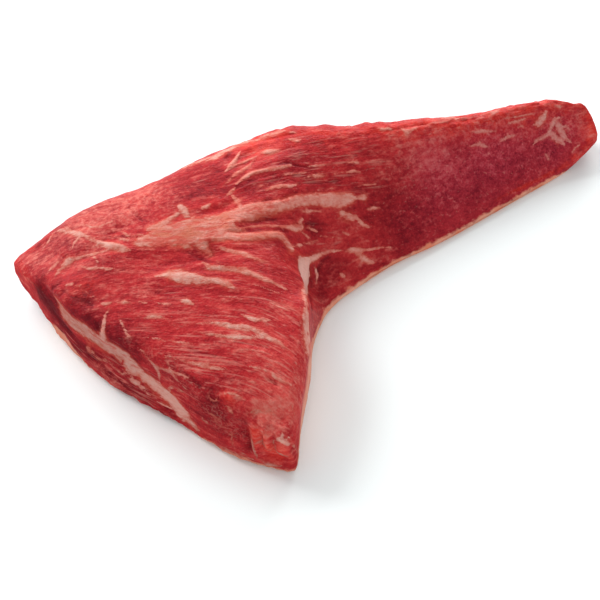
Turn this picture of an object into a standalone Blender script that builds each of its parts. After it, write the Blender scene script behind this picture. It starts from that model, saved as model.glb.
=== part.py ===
"""A raw beef tri-tip: one piece of meat, lying on its fat side.

It is a wide block that bends into a long tail. The frame is +Z up, with +X
along the long edge towards the tail, and the origin under the middle of the
piece, on the surface that it lies on.
"""

import math

import bmesh
import bpy
import numpy as np

MM = 0.001

# The length of the middle of the piece, in millimetres.
LENGTH = 300.0

# Raw beef, as linear red, green, blue and alpha, and how matt it is.
MEAT_COLOUR = (0.42, 0.055, 0.050, 1.0)
MEAT_ROUGHNESS = 0.42

# The plan outline, as four edges in millimetres, each a smooth curve through
# these corners and bends.
CUT_FACE = [
    (-31, -87), (-49, -74), (-65, -54), (-82, -31),
    (-98, -11), (-110, 8), (-120, 30), (-128, 52), (-133, 70),
]
INNER_EDGE = [
    (-31, -87), (-20, -66), (-7, -38), (1, -16), (16, 4.5),
    (50, 20), (88, 31), (126, 43.2), (166, 56), (190, 64),
]
OUTER_EDGE = [
    (-133, 70), (-112, 75), (-82, 86), (-48, 90.5), (-14, 98), (21, 102),
    (62, 96), (96, 92), (134, 90), (167, 92), (188, 85.5),
]
TIP_FACE = [(190, 64), (190.5, 74), (188, 85.5)]

# How high the top stands over the table, in millimetres. A row is a station
# along the piece, from the cut face to the tip, and its heights stand at
# shares of the way across, from the inner edge to the outer one.
SHARES = [0.0, 0.1, 0.2, 0.4, 0.6, 0.8, 1.0]
HEIGHTS = [
    (0.00, (27, 33, 37, 41, 42, 36, 19.5)),
    (0.08, (34, 39, 42, 46, 46, 44, 33.5)),
    (0.20, (38, 42, 45, 48, 48.5, 45.5, 36)),
    (0.27, (36, 41, 45, 49, 50, 47.5, 38.5)),
    (0.31, (18, 37, 43, 48, 50, 48, 41)),
    (0.35, (7, 17, 34, 46, 50, 49, 42)),
    (0.40, (6, 12, 24, 42, 49, 48, 42)),
    (0.50, (5, 11, 18, 34, 44, 47, 42)),
    (0.64, (4, 9, 14, 26, 36, 42, 39)),
    (0.78, (4, 8, 12, 21, 31, 37, 35)),
    (0.92, (7, 10, 13, 19, 26, 30.5, 28)),
    (1.00, (16, 17, 18, 20, 22, 24, 22)),
]

# How far the wall under an edge leans out at its foot, in millimetres, at
# shares of the length of that edge. The lean fades out over FOOT_REACH inside
# the edge.
CUT_FACE_FOOT = [
    (0.0, 1.0), (0.16, 2.4), (0.25, 4.2), (0.31, 2.4), (0.38, 2.2),
    (0.55, 2.2), (0.66, 0.6), (0.76, -0.2), (0.88, -2.2), (1.0, 0.2),
]
INNER_FOOT = [
    (0.0, 2.4), (0.07, 0.2), (0.16, 0.2), (0.25, 1.4), (0.32, 2.4),
    (0.42, 2.6), (0.52, 0.2), (0.66, 1.8), (0.82, 0.8), (1.0, 0.2),
]
FOOT_REACH = 16.0

# The underside lifts off the table at the two sharp ends: where, how high
# and how far in, in millimetres, and the power of the curve that it rises by.
LIFTS = [((-133, 68), 12.5, 42.0), ((192, 60), 16.0, 26.0)]
LIFT_POWER = 1.6

# The rounding of the rim, in millimetres. Where the piece is thin, the lower
# rounding is never more than a share of the thickness.
CUT_FACE_ROUNDING = [(0.0, 4.0), (0.2, 7.0), (0.8, 7.0), (1.0, 4.5)]
TIP_ROUNDING = 3.0
INNER_ROUNDING = [(0.0, 4.5), (0.1, 7.0), (0.26, 6.0), (0.34, 3.0), (1.0, 2.0)]
OUTER_ROUNDING = [(0.0, 5.0), (0.08, 9.0), (0.30, 13.0), (0.80, 11.0), (0.92, 8.0), (1.0, 3.5)]
UNDERSIDE_ROUNDING = 4.0
UNDERSIDE_SHARE = 0.45

# Ridges and furrows that stand out of the skin. Each is a line through points
# at shares of the length, the width and the height, with the half width and
# the rise in millimetres. Fat stands proud where the knife left it, and the
# seams between the muscles sink in.
FAT_BAND = [
    (0.15, 0.68, 1), (0.20, 0.62, 1), (0.24, 0.56, 1), (0.29, 0.49, 1), (0.33, 0.47, 1),
    (0.38, 0.44, 1), (0.42, 0.40, 1), (0.47, 0.38, 1), (0.52, 0.36, 1),
]
FAT_TONGUE = [(0.24, 0.50, 1), (0.28, 0.41, 1), (0.32, 0.34, 1), (0.35, 0.29, 1)]
FAT_LENS = [(0.12, 0.55, 1), (0.16, 0.45, 1), (0.19, 0.31, 1)]
FAT_STREAK = [(0.19, 0.47, 1), (0.23, 0.33, 1), (0.25, 0.20, 1)]
BEND_RIDGE = [(0.355, 0.20, 1), (0.33, 0.13, 1), (0.305, 0.075, 1), (0.225, 0.02, 1)]
HOLLOW_RIDGE = [(0.355, 0.20, 1), (0.385, 0.18, 1), (0.43, 0.18, 1)]
BAND_FURROW = [(0.15, 0.58, 1), (0.19, 0.50, 1), (0.23, 0.45, 1)]
ISLAND_FURROW = [(0.29, 0.44, 1), (0.36, 0.37, 1)]
FIBRE_FURROWS = [
    [(0.07, 0.39, 1), (0.12, 0.28, 1), (0.15, 0.15, 1)],
    [(0.02, 0.38, 1), (0.04, 0.27, 1), (0.07, 0.18, 1)],
    [(0.10, 0.50, 1), (0.14, 0.38, 1), (0.18, 0.24, 1), (0.20, 0.12, 1)],
    [(0.33, 0.67, 1), (0.37, 0.70, 1), (0.41, 0.73, 1)],
    [(0.38, 0.55, 1), (0.46, 0.53, 1), (0.54, 0.55, 1)],
    [(0.45, 0.70, 1), (0.55, 0.72, 1), (0.64, 0.74, 1)],
]
SHOULDER_FOLD = [(0.15, 0.78, 1), (0.105, 0.775, 1), (0.04, 0.80, 1)]
CORNER_FOLD = [(0.0, 0.16, 0.5), (0.0, 0.13, 0.9), (0.025, 0.09, 1), (0.03, 0.04, 1)]
CUT_SEAM = [
    (0, 0.82, 0.93), (0, 0.72, 0.74), (0, 0.66, 0.69), (0, 0.58, 0.65),
    (0, 0.45, 0.57), (0, 0.31, 0.29), (0, 0.23, 0.10),
]
CUT_LAYER = [(0, 0.70, 0.30), (0, 0.58, 0.28), (0, 0.47, 0.22), (0, 0.38, 0.14)]
RELIEF = [
    (FAT_BAND, 7.0, 1.0), (FAT_TONGUE, 4.0, 0.8), (FAT_LENS, 3.5, 0.8),
    (FAT_STREAK, 3.5, 0.6), (BEND_RIDGE, 4.0, 1.5), (HOLLOW_RIDGE, 3.5, 1.2),
    (BAND_FURROW, 5.0, -1.2), (ISLAND_FURROW, 3.5, -0.8), (SHOULDER_FOLD, 4.5, -1.2),
    (CORNER_FOLD, 4.0, -1.6), (CUT_SEAM, 4.0, -1.4), (CUT_LAYER, 6.0, 1.2),
] + [(line, 4.0, -0.8) for line in FIBRE_FURROWS]

# The slow unevenness of the whole skin: its rise and its lengths in the three
# directions, in millimetres. All relief grows from nothing at the table to
# its full rise at RELIEF_FOOT above it.
WAVE_RISE = 0.35
WAVE_X = 7.0
WAVE_Y = 8.0
WAVE_Z = 9.0
WAVE_BEND = 11.0
RELIEF_FOOT = 6.0

# Rows of the mesh: along the piece, across it and up its sides. A rim row
# lies on the rounding between two sides.
ROWS_ALONG = 66
ROWS_ACROSS = 30
ROWS_UP = 5
RIM_ROWS = 2

# The number of points that an edge is measured with, and the small step of a
# share that a direction in plan is found with.
EDGE_SAMPLES = 400
PLAN_STEP = 0.02

# Rows closer than this are one, in millimetres, and the shading breaks at
# edges sharper than this angle.
WELD_GAP = 0.01
SHARP_ANGLE = math.radians(60)


def smooth_through(knots, values, at):
    """A smooth curve through values at the knots, read at the points `at`.

    Each span is a cubic whose end slopes are the slope between the two
    neighbouring knots.
    """
    knots = np.asarray(knots, float)
    values = np.asarray(values, float)
    slopes = np.gradient(values, knots, axis=0)
    span = np.clip(np.searchsorted(knots, at, side="right") - 1, 0, len(knots) - 2)
    width = knots[span + 1] - knots[span]
    t = (at - knots[span]) / width
    if values.ndim > 1:
        t = t[..., None]
        width = width[..., None]
    rise = t * t * (3 - 2 * t)
    start = values[span] * (1 - rise) + values[span + 1] * rise
    lead = slopes[span] * width * t * (1 - t) ** 2
    lag = slopes[span + 1] * width * t * t * (t - 1)
    return start + lead + lag


def edge_curve(points):
    """The smooth edge through these points, as a function of the share of its length."""
    points = np.asarray(points, float)
    steps = np.linalg.norm(np.diff(points, axis=0), axis=1)
    rough = np.concatenate([[0], np.cumsum(steps)])
    fine = np.linspace(0, rough[-1], EDGE_SAMPLES)
    line = smooth_through(rough, points, fine)
    length = np.concatenate([[0], np.cumsum(np.linalg.norm(np.diff(line, axis=0), axis=1))])
    share = length / length[-1]

    def at(where):
        return np.stack([np.interp(where, share, line[:, k]) for k in range(2)], axis=-1)

    return at


cut_face = edge_curve(CUT_FACE)
inner_edge = edge_curve(INNER_EDGE)
outer_edge = edge_curve(OUTER_EDGE)
tip_face = edge_curve(TIP_FACE)


def plan(along, across):
    """The plan position of (along, across), a patch stretched between the four edges."""
    u = along[..., None]
    v = across[..., None]
    ribs = (1 - v) * inner_edge(along) + v * outer_edge(along)
    strips = (1 - u) * cut_face(across) + u * tip_face(across)
    corners = [np.asarray(edge[end], float) for edge, end in (
        (CUT_FACE, 0), (CUT_FACE, -1), (TIP_FACE, 0), (TIP_FACE, -1))]
    flat = (1 - u) * (1 - v) * corners[0] + (1 - u) * v * corners[1]
    flat = flat + u * (1 - v) * corners[2] + u * v * corners[3]
    return ribs + strips - flat


def plan_direction(along, across, step_along, step_across):
    """The direction in plan, of length one, in which a small step of the two shares goes."""
    start_along = np.minimum(along, 1 - step_along)
    start_across = np.minimum(across, 1 - step_across)
    step = plan(start_along + step_along, start_across + step_across) - plan(start_along, start_across)
    return step / np.linalg.norm(step, axis=-1, keepdims=True)


def top_height(along, across):
    """The height of the top over the table at (along, across), smooth in both directions."""
    stations, heights = zip(*HEIGHTS)
    rows = smooth_through(stations, heights, along)
    knots = np.asarray(SHARES)
    slopes = np.gradient(rows, knots, axis=-1)
    span = np.clip(np.searchsorted(knots, across, side="right") - 1, 0, len(knots) - 2)
    width = knots[span + 1] - knots[span]
    t = (across - knots[span]) / width

    def pick(table, index):
        return np.take_along_axis(table, index[..., None], axis=-1)[..., 0]

    rise = t * t * (3 - 2 * t)
    height = pick(rows, span) * (1 - rise) + pick(rows, span + 1) * rise
    height = height + pick(slopes, span) * width * t * (1 - t) ** 2
    return height + pick(slopes, span + 1) * width * t * t * (t - 1)


def rounding(stations, along):
    """A rim radius that changes along the piece, in millimetres."""
    where, radius = np.array(stations).T
    return np.interp(along, where, radius)


def axis_rows(count, rim):
    """One axis of the block as (inner share, rim lean) for each row.

    The lean runs from -1 to 0 over the first rim, is 0 in between, and runs
    to 1 over the last rim.
    """
    lean = np.concatenate([
        -np.arange(rim, 0, -1) / rim, np.zeros(count + 1), np.arange(1, rim + 1) / rim])
    inner = np.concatenate([np.zeros(rim), np.linspace(0, 1, count + 1), np.ones(rim)])
    return np.stack([inner, lean], axis=-1)


def foot_fade(gap):
    """1 at an edge and 0 from FOOT_REACH inside it."""
    return np.clip(1 - gap / FOOT_REACH, 0, 1) ** 2


def piece_point(along, across, up):
    """The point at these shares of the length, the width and the height, in millimetres.

    The walls lean out at their foot, and the underside lifts at the two ends.
    """
    width = np.linalg.norm(outer_edge(along) - inner_edge(along), axis=-1)
    inner_lean = (1 - up) * rounding(INNER_FOOT, along) * foot_fade(across * width)
    cut_lean = (1 - up) * rounding(CUT_FACE_FOOT, across) * foot_fade(along * LENGTH)
    place = plan(along, across)
    place = place - inner_lean[..., None] * plan_direction(along, across, 0.0, PLAN_STEP)
    place = place - cut_lean[..., None] * plan_direction(along, across, PLAN_STEP, 0.0)
    lift = 0
    for corner, height, reach in LIFTS:
        gap = np.linalg.norm(place - np.asarray(corner, float), axis=-1)
        lift = lift + height * np.clip(1 - gap / reach, 0, 1) ** LIFT_POWER
    height = lift + up * (top_height(along, across) - lift)
    return np.concatenate([place, height[..., None]], axis=-1)


def block_point(a, b, c):
    """Where a row of each axis meets: a point on the rounded rim or a side.

    The three leans, made one long, are the outward direction on the rim, and
    each axis goes that share of its rim radius past its inner part.
    """
    leans = np.stack([a[..., 1], b[..., 1], c[..., 1]], axis=-1)
    leans = leans / np.maximum(np.linalg.norm(leans, axis=-1, keepdims=True), 1e-9)
    low = rounding(CUT_FACE_ROUNDING, b[..., 0]) / LENGTH
    high = TIP_ROUNDING / LENGTH
    along = low + a[..., 0] * (1 - low - high)
    along = along + np.where(leans[..., 0] < 0, low, high) * leans[..., 0]
    width = np.linalg.norm(outer_edge(along) - inner_edge(along), axis=-1)
    inner = rounding(INNER_ROUNDING, along) / width
    outer = rounding(OUTER_ROUNDING, along) / width
    across = inner + b[..., 0] * (1 - inner - outer)
    across = across + np.where(leans[..., 1] < 0, inner, outer) * leans[..., 1]
    height = top_height(along, across)
    over = (1 - across) * rounding(INNER_ROUNDING, along) + across * rounding(OUTER_ROUNDING, along)
    under = np.minimum(UNDERSIDE_ROUNDING, UNDERSIDE_SHARE * height)
    over = np.minimum(over, height - under)
    up = under + c[..., 0] * (height - under - over)
    up = up + np.where(leans[..., 2] < 0, under, over) * leans[..., 2]
    return piece_point(along, across, up / height)


def block_side(rows, fixed, end):
    """The grid of points on one side of the block, where axis `fixed` is at its first or last row."""
    free = [axis for axis in range(3) if axis != fixed]
    first, second = np.meshgrid(
        np.arange(len(rows[free[0]])), np.arange(len(rows[free[1]])), indexing="ij")
    chosen = [None, None, None]
    chosen[free[0]] = rows[free[0]][first]
    chosen[free[1]] = rows[free[1]][second]
    chosen[fixed] = np.broadcast_to(rows[fixed][end], first.shape + (2,))
    return block_point(*chosen)


def add_grid(mesh, points):
    """Adds a grid of points to the bmesh as quads."""
    rows, columns = points.shape[:2]
    corners = [[mesh.verts.new(points[i, j] * MM) for j in range(columns)] for i in range(rows)]
    for i in range(rows - 1):
        for j in range(columns - 1):
            mesh.faces.new((corners[i][j], corners[i + 1][j], corners[i + 1][j + 1], corners[i][j + 1]))


def meat_mesh():
    """The closed mesh: six grids sewn along their edges."""
    rows = [
        axis_rows(ROWS_ALONG, RIM_ROWS),
        axis_rows(ROWS_ACROSS, RIM_ROWS),
        axis_rows(ROWS_UP, RIM_ROWS),
    ]
    mesh = bmesh.new()
    for fixed in range(3):
        for end in (0, -1):
            add_grid(mesh, block_side(rows, fixed, end))
    bmesh.ops.remove_doubles(mesh, verts=mesh.verts, dist=WELD_GAP * MM)
    bmesh.ops.recalc_face_normals(mesh, faces=mesh.faces)
    return mesh


def gap_to_line(points, line):
    """The distance of each point from a broken line, in millimetres."""
    nearest = np.full(len(points), 1e9)
    for start, end in zip(line[:-1], line[1:]):
        leg = end - start
        share = np.clip((points - start) @ leg / (leg @ leg), 0, 1)
        gap = np.linalg.norm(points - start - share[:, None] * leg, axis=1)
        nearest = np.minimum(nearest, gap)
    return nearest


def relief(points):
    """How far the skin rises at each point, in millimetres: a bell curve across each line."""
    rise = np.zeros(len(points))
    for line, half_width, height in RELIEF:
        shares = np.asarray(line, float)
        places = piece_point(shares[:, 0], shares[:, 1], shares[:, 2])
        rise = rise + height * np.exp(-(gap_to_line(points, places) / half_width) ** 2)
    x, y, z = points.T
    bent = x / WAVE_X + 1.1 * np.sin(y / WAVE_BEND)
    return rise + WAVE_RISE * np.sin(bent) * np.cos(y / WAVE_Y + z / WAVE_Z)


def raise_relief(mesh):
    """Moves the skin along its normals by the relief; the flat underside stays."""
    mesh.normal_update()
    points = np.array([corner.co[:] for corner in mesh.verts]) / MM
    normals = np.array([corner.normal[:] for corner in mesh.verts])
    above = np.clip(points[:, 2] / RELIEF_FOOT, 0, 1)
    moved = points + normals * (relief(points) * above)[:, None]
    for corner, place in zip(mesh.verts, moved):
        corner.co = place * MM


def centre_on_table(mesh):
    """Moves the piece so that the origin is under the middle of its extents."""
    points = np.array([corner.co[:] for corner in mesh.verts])
    middle = (points.min(axis=0) + points.max(axis=0)) / 2
    middle[2] = points[:, 2].min()
    for corner, place in zip(mesh.verts, points - middle):
        corner.co = place
    print("middle, mm", middle / MM, "size, mm", np.ptp(points, axis=0) / MM)


def meat_material():
    """Raw beef: dark red, moist and a little shiny."""
    material = bpy.data.materials.new("raw_beef")
    material.use_nodes = True
    shader = material.node_tree.nodes["Principled BSDF"]
    shader.inputs["Base Color"].default_value = MEAT_COLOUR
    shader.inputs["Roughness"].default_value = MEAT_ROUGHNESS
    return material


def clear_scene():
    for thing in list(bpy.data.objects):
        bpy.data.objects.remove(thing)


def main():
    clear_scene()
    mesh = meat_mesh()
    raise_relief(mesh)
    centre_on_table(mesh)
    print("volume, cm3", mesh.calc_volume() * 1e6, "faces", len(mesh.faces))
    data = bpy.data.meshes.new("tri_tip")
    mesh.to_mesh(data)
    mesh.free()
    data.materials.append(meat_material())
    data.shade_smooth()
    data.set_sharp_from_angle(angle=SHARP_ANGLE)
    meat = bpy.data.objects.new("tri_tip", data)
    bpy.context.scene.collection.objects.link(meat)


main()
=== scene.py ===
# %% [markdown]
# # A raw beef tri-tip
#
# A tri-tip is one whole muscle from the bottom of the sirloin: a thick wedge
# that bends into a long tail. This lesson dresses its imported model. The form
# is one closed surface worked out from a few curves, the streaks of fat are
# lines laid on that surface, and the colour follows the run of the fibres.
#
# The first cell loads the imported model, which fixes the size and the place.

import bpy
import numpy as np
from mathutils import Matrix, Vector
from mathutils.bvhtree import BVHTree


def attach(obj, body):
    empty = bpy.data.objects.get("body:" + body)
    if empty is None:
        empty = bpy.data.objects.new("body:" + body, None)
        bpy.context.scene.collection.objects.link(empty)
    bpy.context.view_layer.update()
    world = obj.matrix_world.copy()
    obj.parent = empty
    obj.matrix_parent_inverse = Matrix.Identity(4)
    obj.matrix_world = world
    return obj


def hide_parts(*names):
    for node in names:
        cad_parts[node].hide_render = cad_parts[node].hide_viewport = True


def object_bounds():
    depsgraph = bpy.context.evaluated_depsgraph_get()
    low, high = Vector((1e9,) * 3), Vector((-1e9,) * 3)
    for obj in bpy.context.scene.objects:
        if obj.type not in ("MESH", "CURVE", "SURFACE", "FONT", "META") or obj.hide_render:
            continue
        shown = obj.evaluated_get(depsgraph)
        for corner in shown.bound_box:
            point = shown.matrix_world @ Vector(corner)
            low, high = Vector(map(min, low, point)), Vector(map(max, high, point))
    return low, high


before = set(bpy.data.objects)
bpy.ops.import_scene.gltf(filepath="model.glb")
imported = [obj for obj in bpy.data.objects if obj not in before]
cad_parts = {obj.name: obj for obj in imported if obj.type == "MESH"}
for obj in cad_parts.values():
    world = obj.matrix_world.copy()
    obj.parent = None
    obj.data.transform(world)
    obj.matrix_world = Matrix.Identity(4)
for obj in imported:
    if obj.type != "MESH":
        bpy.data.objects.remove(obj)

CAD_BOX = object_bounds()
MM = 0.001
print("packed piece, mm:", [round((b - a) / MM, 1) for a, b in zip(*CAD_BOX)])

# %% [markdown]
# ## Where the camera stands
#
# The picture looks down on the meat from 50 degrees above the table, with a
# long lens that keeps the tail as large as the wedge. The camera could be
# turned by hand until it fits, but its place is worked out here from that
# angle, the distance and the point it looks at, because the same numbers
# later find the point of the meat behind any place in the picture.

# %% The camera
ELEVATION = np.radians(50.0)
TURN = np.radians(17.7)
DISTANCE = 1.0
SENSOR, LENS = 36.0, 120.0
PICTURE = 600
AIM = np.array([-0.0294, -0.0077, 0.020])

RIGHT = np.array([np.cos(TURN), -np.sin(TURN), 0.0])
AHEAD = np.array([
    np.sin(TURN) * np.cos(ELEVATION), np.cos(TURN) * np.cos(ELEVATION), -np.sin(ELEVATION)])
ABOVE = np.cross(RIGHT, AHEAD)
EYE = AIM - AHEAD * DISTANCE

camera = bpy.data.objects.new("camera", bpy.data.cameras.new("camera"))
bpy.context.scene.collection.objects.link(camera)
camera.data.lens = LENS
camera.data.sensor_width = SENSOR
camera.data.clip_end = 20.0
camera.matrix_world = Matrix([
    (RIGHT[0], ABOVE[0], -AHEAD[0], EYE[0]),
    (RIGHT[1], ABOVE[1], -AHEAD[1], EYE[1]),
    (RIGHT[2], ABOVE[2], -AHEAD[2], EYE[2]),
    (0, 0, 0, 1),
])
bpy.context.scene.camera = camera
print("camera at, m:", EYE.round(3), "mm in a picture point:", DISTANCE * SENSOR / LENS / PICTURE / MM)

# %% [markdown]
# ## The curves that give the form
#
# The outline has four edges: the cut face on the left, the inner edge that
# bends round the notch, the long outer edge and the small face of the tip.
# Each is a smooth curve through a few corners and bends. It could be drawn
# as one loop, but four edges give the surface two directions of its own,
# along the piece and across it, and everything later uses them.

# %% The outline, in millimetres
CUT_FACE = [
    (-31, -87), (-49, -74), (-65, -54), (-82, -31),
    (-98, -11), (-110, 8), (-120, 30), (-128, 52), (-133, 70),
]
INNER_EDGE = [
    (-31, -87), (-20, -66), (-7, -38), (1, -16), (16, 4.5),
    (50, 20), (88, 31), (126, 43.2), (166, 56), (190, 64),
]
OUTER_EDGE = [
    (-133, 70), (-112, 75), (-82, 86), (-48, 90.5), (-14, 98), (21, 102),
    (62, 96), (96, 92), (134, 90), (167, 92), (188, 85.5),
]
TIP_FACE = [(190, 64), (190.5, 74), (188, 85.5)]
LENGTH = 300.0
MIDDLE = np.array([29.42, 7.67, 0.0])
CURVE_STEPS = 400


def smooth_through(knots, values, at):
    """A cubic on each span, whose end slopes are those between the neighbouring knots."""
    knots = np.asarray(knots, float)
    values = np.asarray(values, float)
    slopes = np.gradient(values, knots, axis=0)
    span = np.clip(np.searchsorted(knots, at, side="right") - 1, 0, len(knots) - 2)
    width = knots[span + 1] - knots[span]
    t = (at - knots[span]) / width
    if values.ndim > 1:
        t = t[..., None]
        width = width[..., None]
    rise = t * t * (3 - 2 * t)
    start = values[span] * (1 - rise) + values[span + 1] * rise
    lead = slopes[span] * width * t * (1 - t) ** 2
    lag = slopes[span + 1] * width * t * t * (t - 1)
    return start + lead + lag


def edge_curve(points):
    """The smooth edge through these points, as a function of the share of its length."""
    points = np.asarray(points, float)
    steps = np.linalg.norm(np.diff(points, axis=0), axis=1)
    rough = np.concatenate([[0], np.cumsum(steps)])
    line = smooth_through(rough, points, np.linspace(0, rough[-1], CURVE_STEPS))
    length = np.concatenate([[0], np.cumsum(np.linalg.norm(np.diff(line, axis=0), axis=1))])
    share = length / length[-1]
    return lambda where: np.stack([np.interp(where, share, line[:, k]) for k in range(2)], axis=-1)


cut_face, inner_edge = edge_curve(CUT_FACE), edge_curve(INNER_EDGE)
outer_edge, tip_face = edge_curve(OUTER_EDGE), edge_curve(TIP_FACE)
print("inner edge starts and ends at", inner_edge(np.array([0.0, 1.0])).round(1).tolist())

# %% [markdown]
# ## The heights
#
# The top is highest over the crown, 50 mm above the table, and slopes down
# to a thin inner edge along the tail. Each row of the table stands at a
# share of the length and gives the height at seven shares of the width,
# from the inner edge to the outer. A sculpted top would also do, but a table
# can be read and changed, and a smooth curve through it leaves no steps.

# %% The table of heights, in millimetres
SHARES = [0.0, 0.1, 0.2, 0.4, 0.6, 0.8, 1.0]
HEIGHTS = [
    (0.00, (27, 33, 37, 41, 42, 36, 19.5)),
    (0.08, (34, 39, 42, 46, 46, 44, 33.5)),
    (0.20, (38, 42, 45, 48, 48.5, 45.5, 36)),
    (0.27, (36, 41, 45, 49, 50, 47.5, 38.5)),
    (0.31, (18, 37, 43, 48, 50, 48, 41)),
    (0.35, (7, 17, 34, 46, 50, 49, 42)),
    (0.40, (6, 12, 24, 42, 49, 48, 42)),
    (0.50, (5, 11, 18, 34, 44, 47, 42)),
    (0.64, (4, 9, 14, 26, 36, 42, 39)),
    (0.78, (4, 8, 12, 21, 31, 37, 35)),
    (0.92, (7, 10, 13, 19, 26, 30.5, 28)),
    (1.00, (16, 17, 18, 20, 22, 24, 22)),
]


def top_height(along, across):
    """The table of heights, smoothed along the piece and then across it."""
    stations, heights = zip(*HEIGHTS)
    rows = smooth_through(stations, heights, along)
    knots = np.asarray(SHARES)
    slopes = np.gradient(rows, knots, axis=-1)
    span = np.clip(np.searchsorted(knots, across, side="right") - 1, 0, len(knots) - 2)
    width = knots[span + 1] - knots[span]
    t = (across - knots[span]) / width

    def pick(table, index):
        """The entry of each row at that row's own index."""
        return np.take_along_axis(table, index[..., None], axis=-1)[..., 0]

    rise = t * t * (3 - 2 * t)
    height = pick(rows, span) * (1 - rise) + pick(rows, span + 1) * rise
    height = height + pick(slopes, span) * width * t * (1 - t) ** 2
    return height + pick(slopes, span + 1) * width * t * t * (t - 1)


crown = top_height(np.array([0.31]), np.array([0.6]))[0]
print("height of the crown, mm:", round(float(crown), 1))

# %% [markdown]
# ## The plan, the walls and the underside
#
# A patch stretched between the four edges gives the plan. The walls lean
# out at their foot, by a distance that changes along each edge, and the
# underside lifts off the table at the two sharp ends. Walls could be pulled
# straight up and pushed about afterwards, but a lean that fades with height
# and with the distance from the edge keeps the grid smooth.

# %% From shares of length, width and height to a point
CUT_FACE_FOOT = [
    (0.0, 1.0), (0.16, 2.4), (0.25, 4.2), (0.31, 2.4), (0.38, 2.2),
    (0.55, 2.2), (0.66, 0.6), (0.76, -0.2), (0.88, -2.2), (1.0, 0.2),
]
INNER_FOOT = [
    (0.0, 2.4), (0.07, 0.2), (0.16, 0.2), (0.25, 1.4), (0.32, 2.4),
    (0.42, 2.6), (0.52, 0.2), (0.66, 1.8), (0.82, 0.8), (1.0, 0.2),
]
FOOT_REACH = 16.0
FOOT_STEP = 0.02
LIFTS = [((-133, 68), 12.5, 42.0), ((192, 60), 16.0, 26.0)]
LIFT_BEND = 1.6


def plan(along, across):
    """The two ruled surfaces between opposite edges, added, less the one between the corners."""
    u, v = along[..., None], across[..., None]
    ribs = (1 - v) * inner_edge(along) + v * outer_edge(along)
    strips = (1 - u) * cut_face(across) + u * tip_face(across)
    start, end, first, last = [np.asarray(edge[k], float) for edge, k in (
        (CUT_FACE, 0), (CUT_FACE, -1), (TIP_FACE, 0), (TIP_FACE, -1))]
    flat = (1 - u) * ((1 - v) * start + v * end) + u * ((1 - v) * first + v * last)
    return ribs + strips - flat


def plan_direction(along, across, step_along, step_across):
    """The direction in plan, of length one, in which a small step of the two shares goes."""
    start_along, start_across = np.minimum(along, 1 - step_along), np.minimum(across, 1 - step_across)
    step = plan(start_along + step_along, start_across + step_across) - plan(start_along, start_across)
    return step / np.linalg.norm(step, axis=-1, keepdims=True)


def by_station(stations, share):
    """A size that changes evenly from one station to the next."""
    return np.interp(share, *np.array(stations).T)


def piece_point(along, across, up):
    """The plan, moved out at the foot of a wall, with the height between underside and top."""
    width = np.linalg.norm(outer_edge(along) - inner_edge(along), axis=-1)
    near_inner = np.clip(1 - across * width / FOOT_REACH, 0, 1) ** 2
    near_cut = np.clip(1 - along * LENGTH / FOOT_REACH, 0, 1) ** 2
    inner_lean = (1 - up) * by_station(INNER_FOOT, along) * near_inner
    cut_lean = (1 - up) * by_station(CUT_FACE_FOOT, across) * near_cut
    place = plan(along, across)
    place = place - inner_lean[..., None] * plan_direction(along, across, 0.0, FOOT_STEP)
    place = place - cut_lean[..., None] * plan_direction(along, across, FOOT_STEP, 0.0)
    lift = 0
    for corner, rise, reach in LIFTS:
        gap = np.linalg.norm(place - np.asarray(corner, float), axis=-1)
        lift = lift + rise * np.clip(1 - gap / reach, 0, 1) ** LIFT_BEND
    height = lift + up * (top_height(along, across) - lift)
    return np.concatenate([place, height[..., None]], axis=-1) - MIDDLE


ends = piece_point(np.array([0.0, 1.0]), np.array([0.5, 0.5]), np.array([1.0, 1.0]))
print("middle of the cut face and of the tip, mm:", ends.round(1).tolist())

# %% [markdown]
# ## The rounded rims
#
# Soft meat has no sharp edge. A block could be bevelled by a modifier, but
# here the rounding is part of the formula, so the grid stays regular over
# the rim. Each axis gets rows with a lean from -1 to 1: inside the block the
# lean is zero, and over a rim the three leans, made one long, say how far
# the point goes past the inner block, in rim radii. The radius changes along
# each edge.

# %% A point of the rounded block
CUT_FACE_ROUNDING = [(0.0, 4.0), (0.2, 7.0), (0.8, 7.0), (1.0, 4.5)]
TIP_ROUNDING = 3.0
INNER_ROUNDING = [(0.0, 4.5), (0.1, 7.0), (0.26, 6.0), (0.34, 3.0), (1.0, 2.0)]
OUTER_ROUNDING = [(0.0, 5.0), (0.08, 9.0), (0.30, 13.0), (0.80, 11.0), (0.92, 8.0), (1.0, 3.5)]
UNDERSIDE_ROUNDING = 4.0
UNDERSIDE_SHARE = 0.45


def axis_rows(count, rim):
    """Rows of one axis as (inner share, lean); the lean goes from -1 to 0 and from 0 to 1 over the rims."""
    lean = np.concatenate([
        -np.arange(rim, 0, -1) / rim, np.zeros(count + 1), np.arange(1, rim + 1) / rim])
    inner = np.concatenate([np.zeros(rim), np.linspace(0, 1, count + 1), np.ones(rim)])
    return np.stack([inner, lean], axis=-1)


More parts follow.
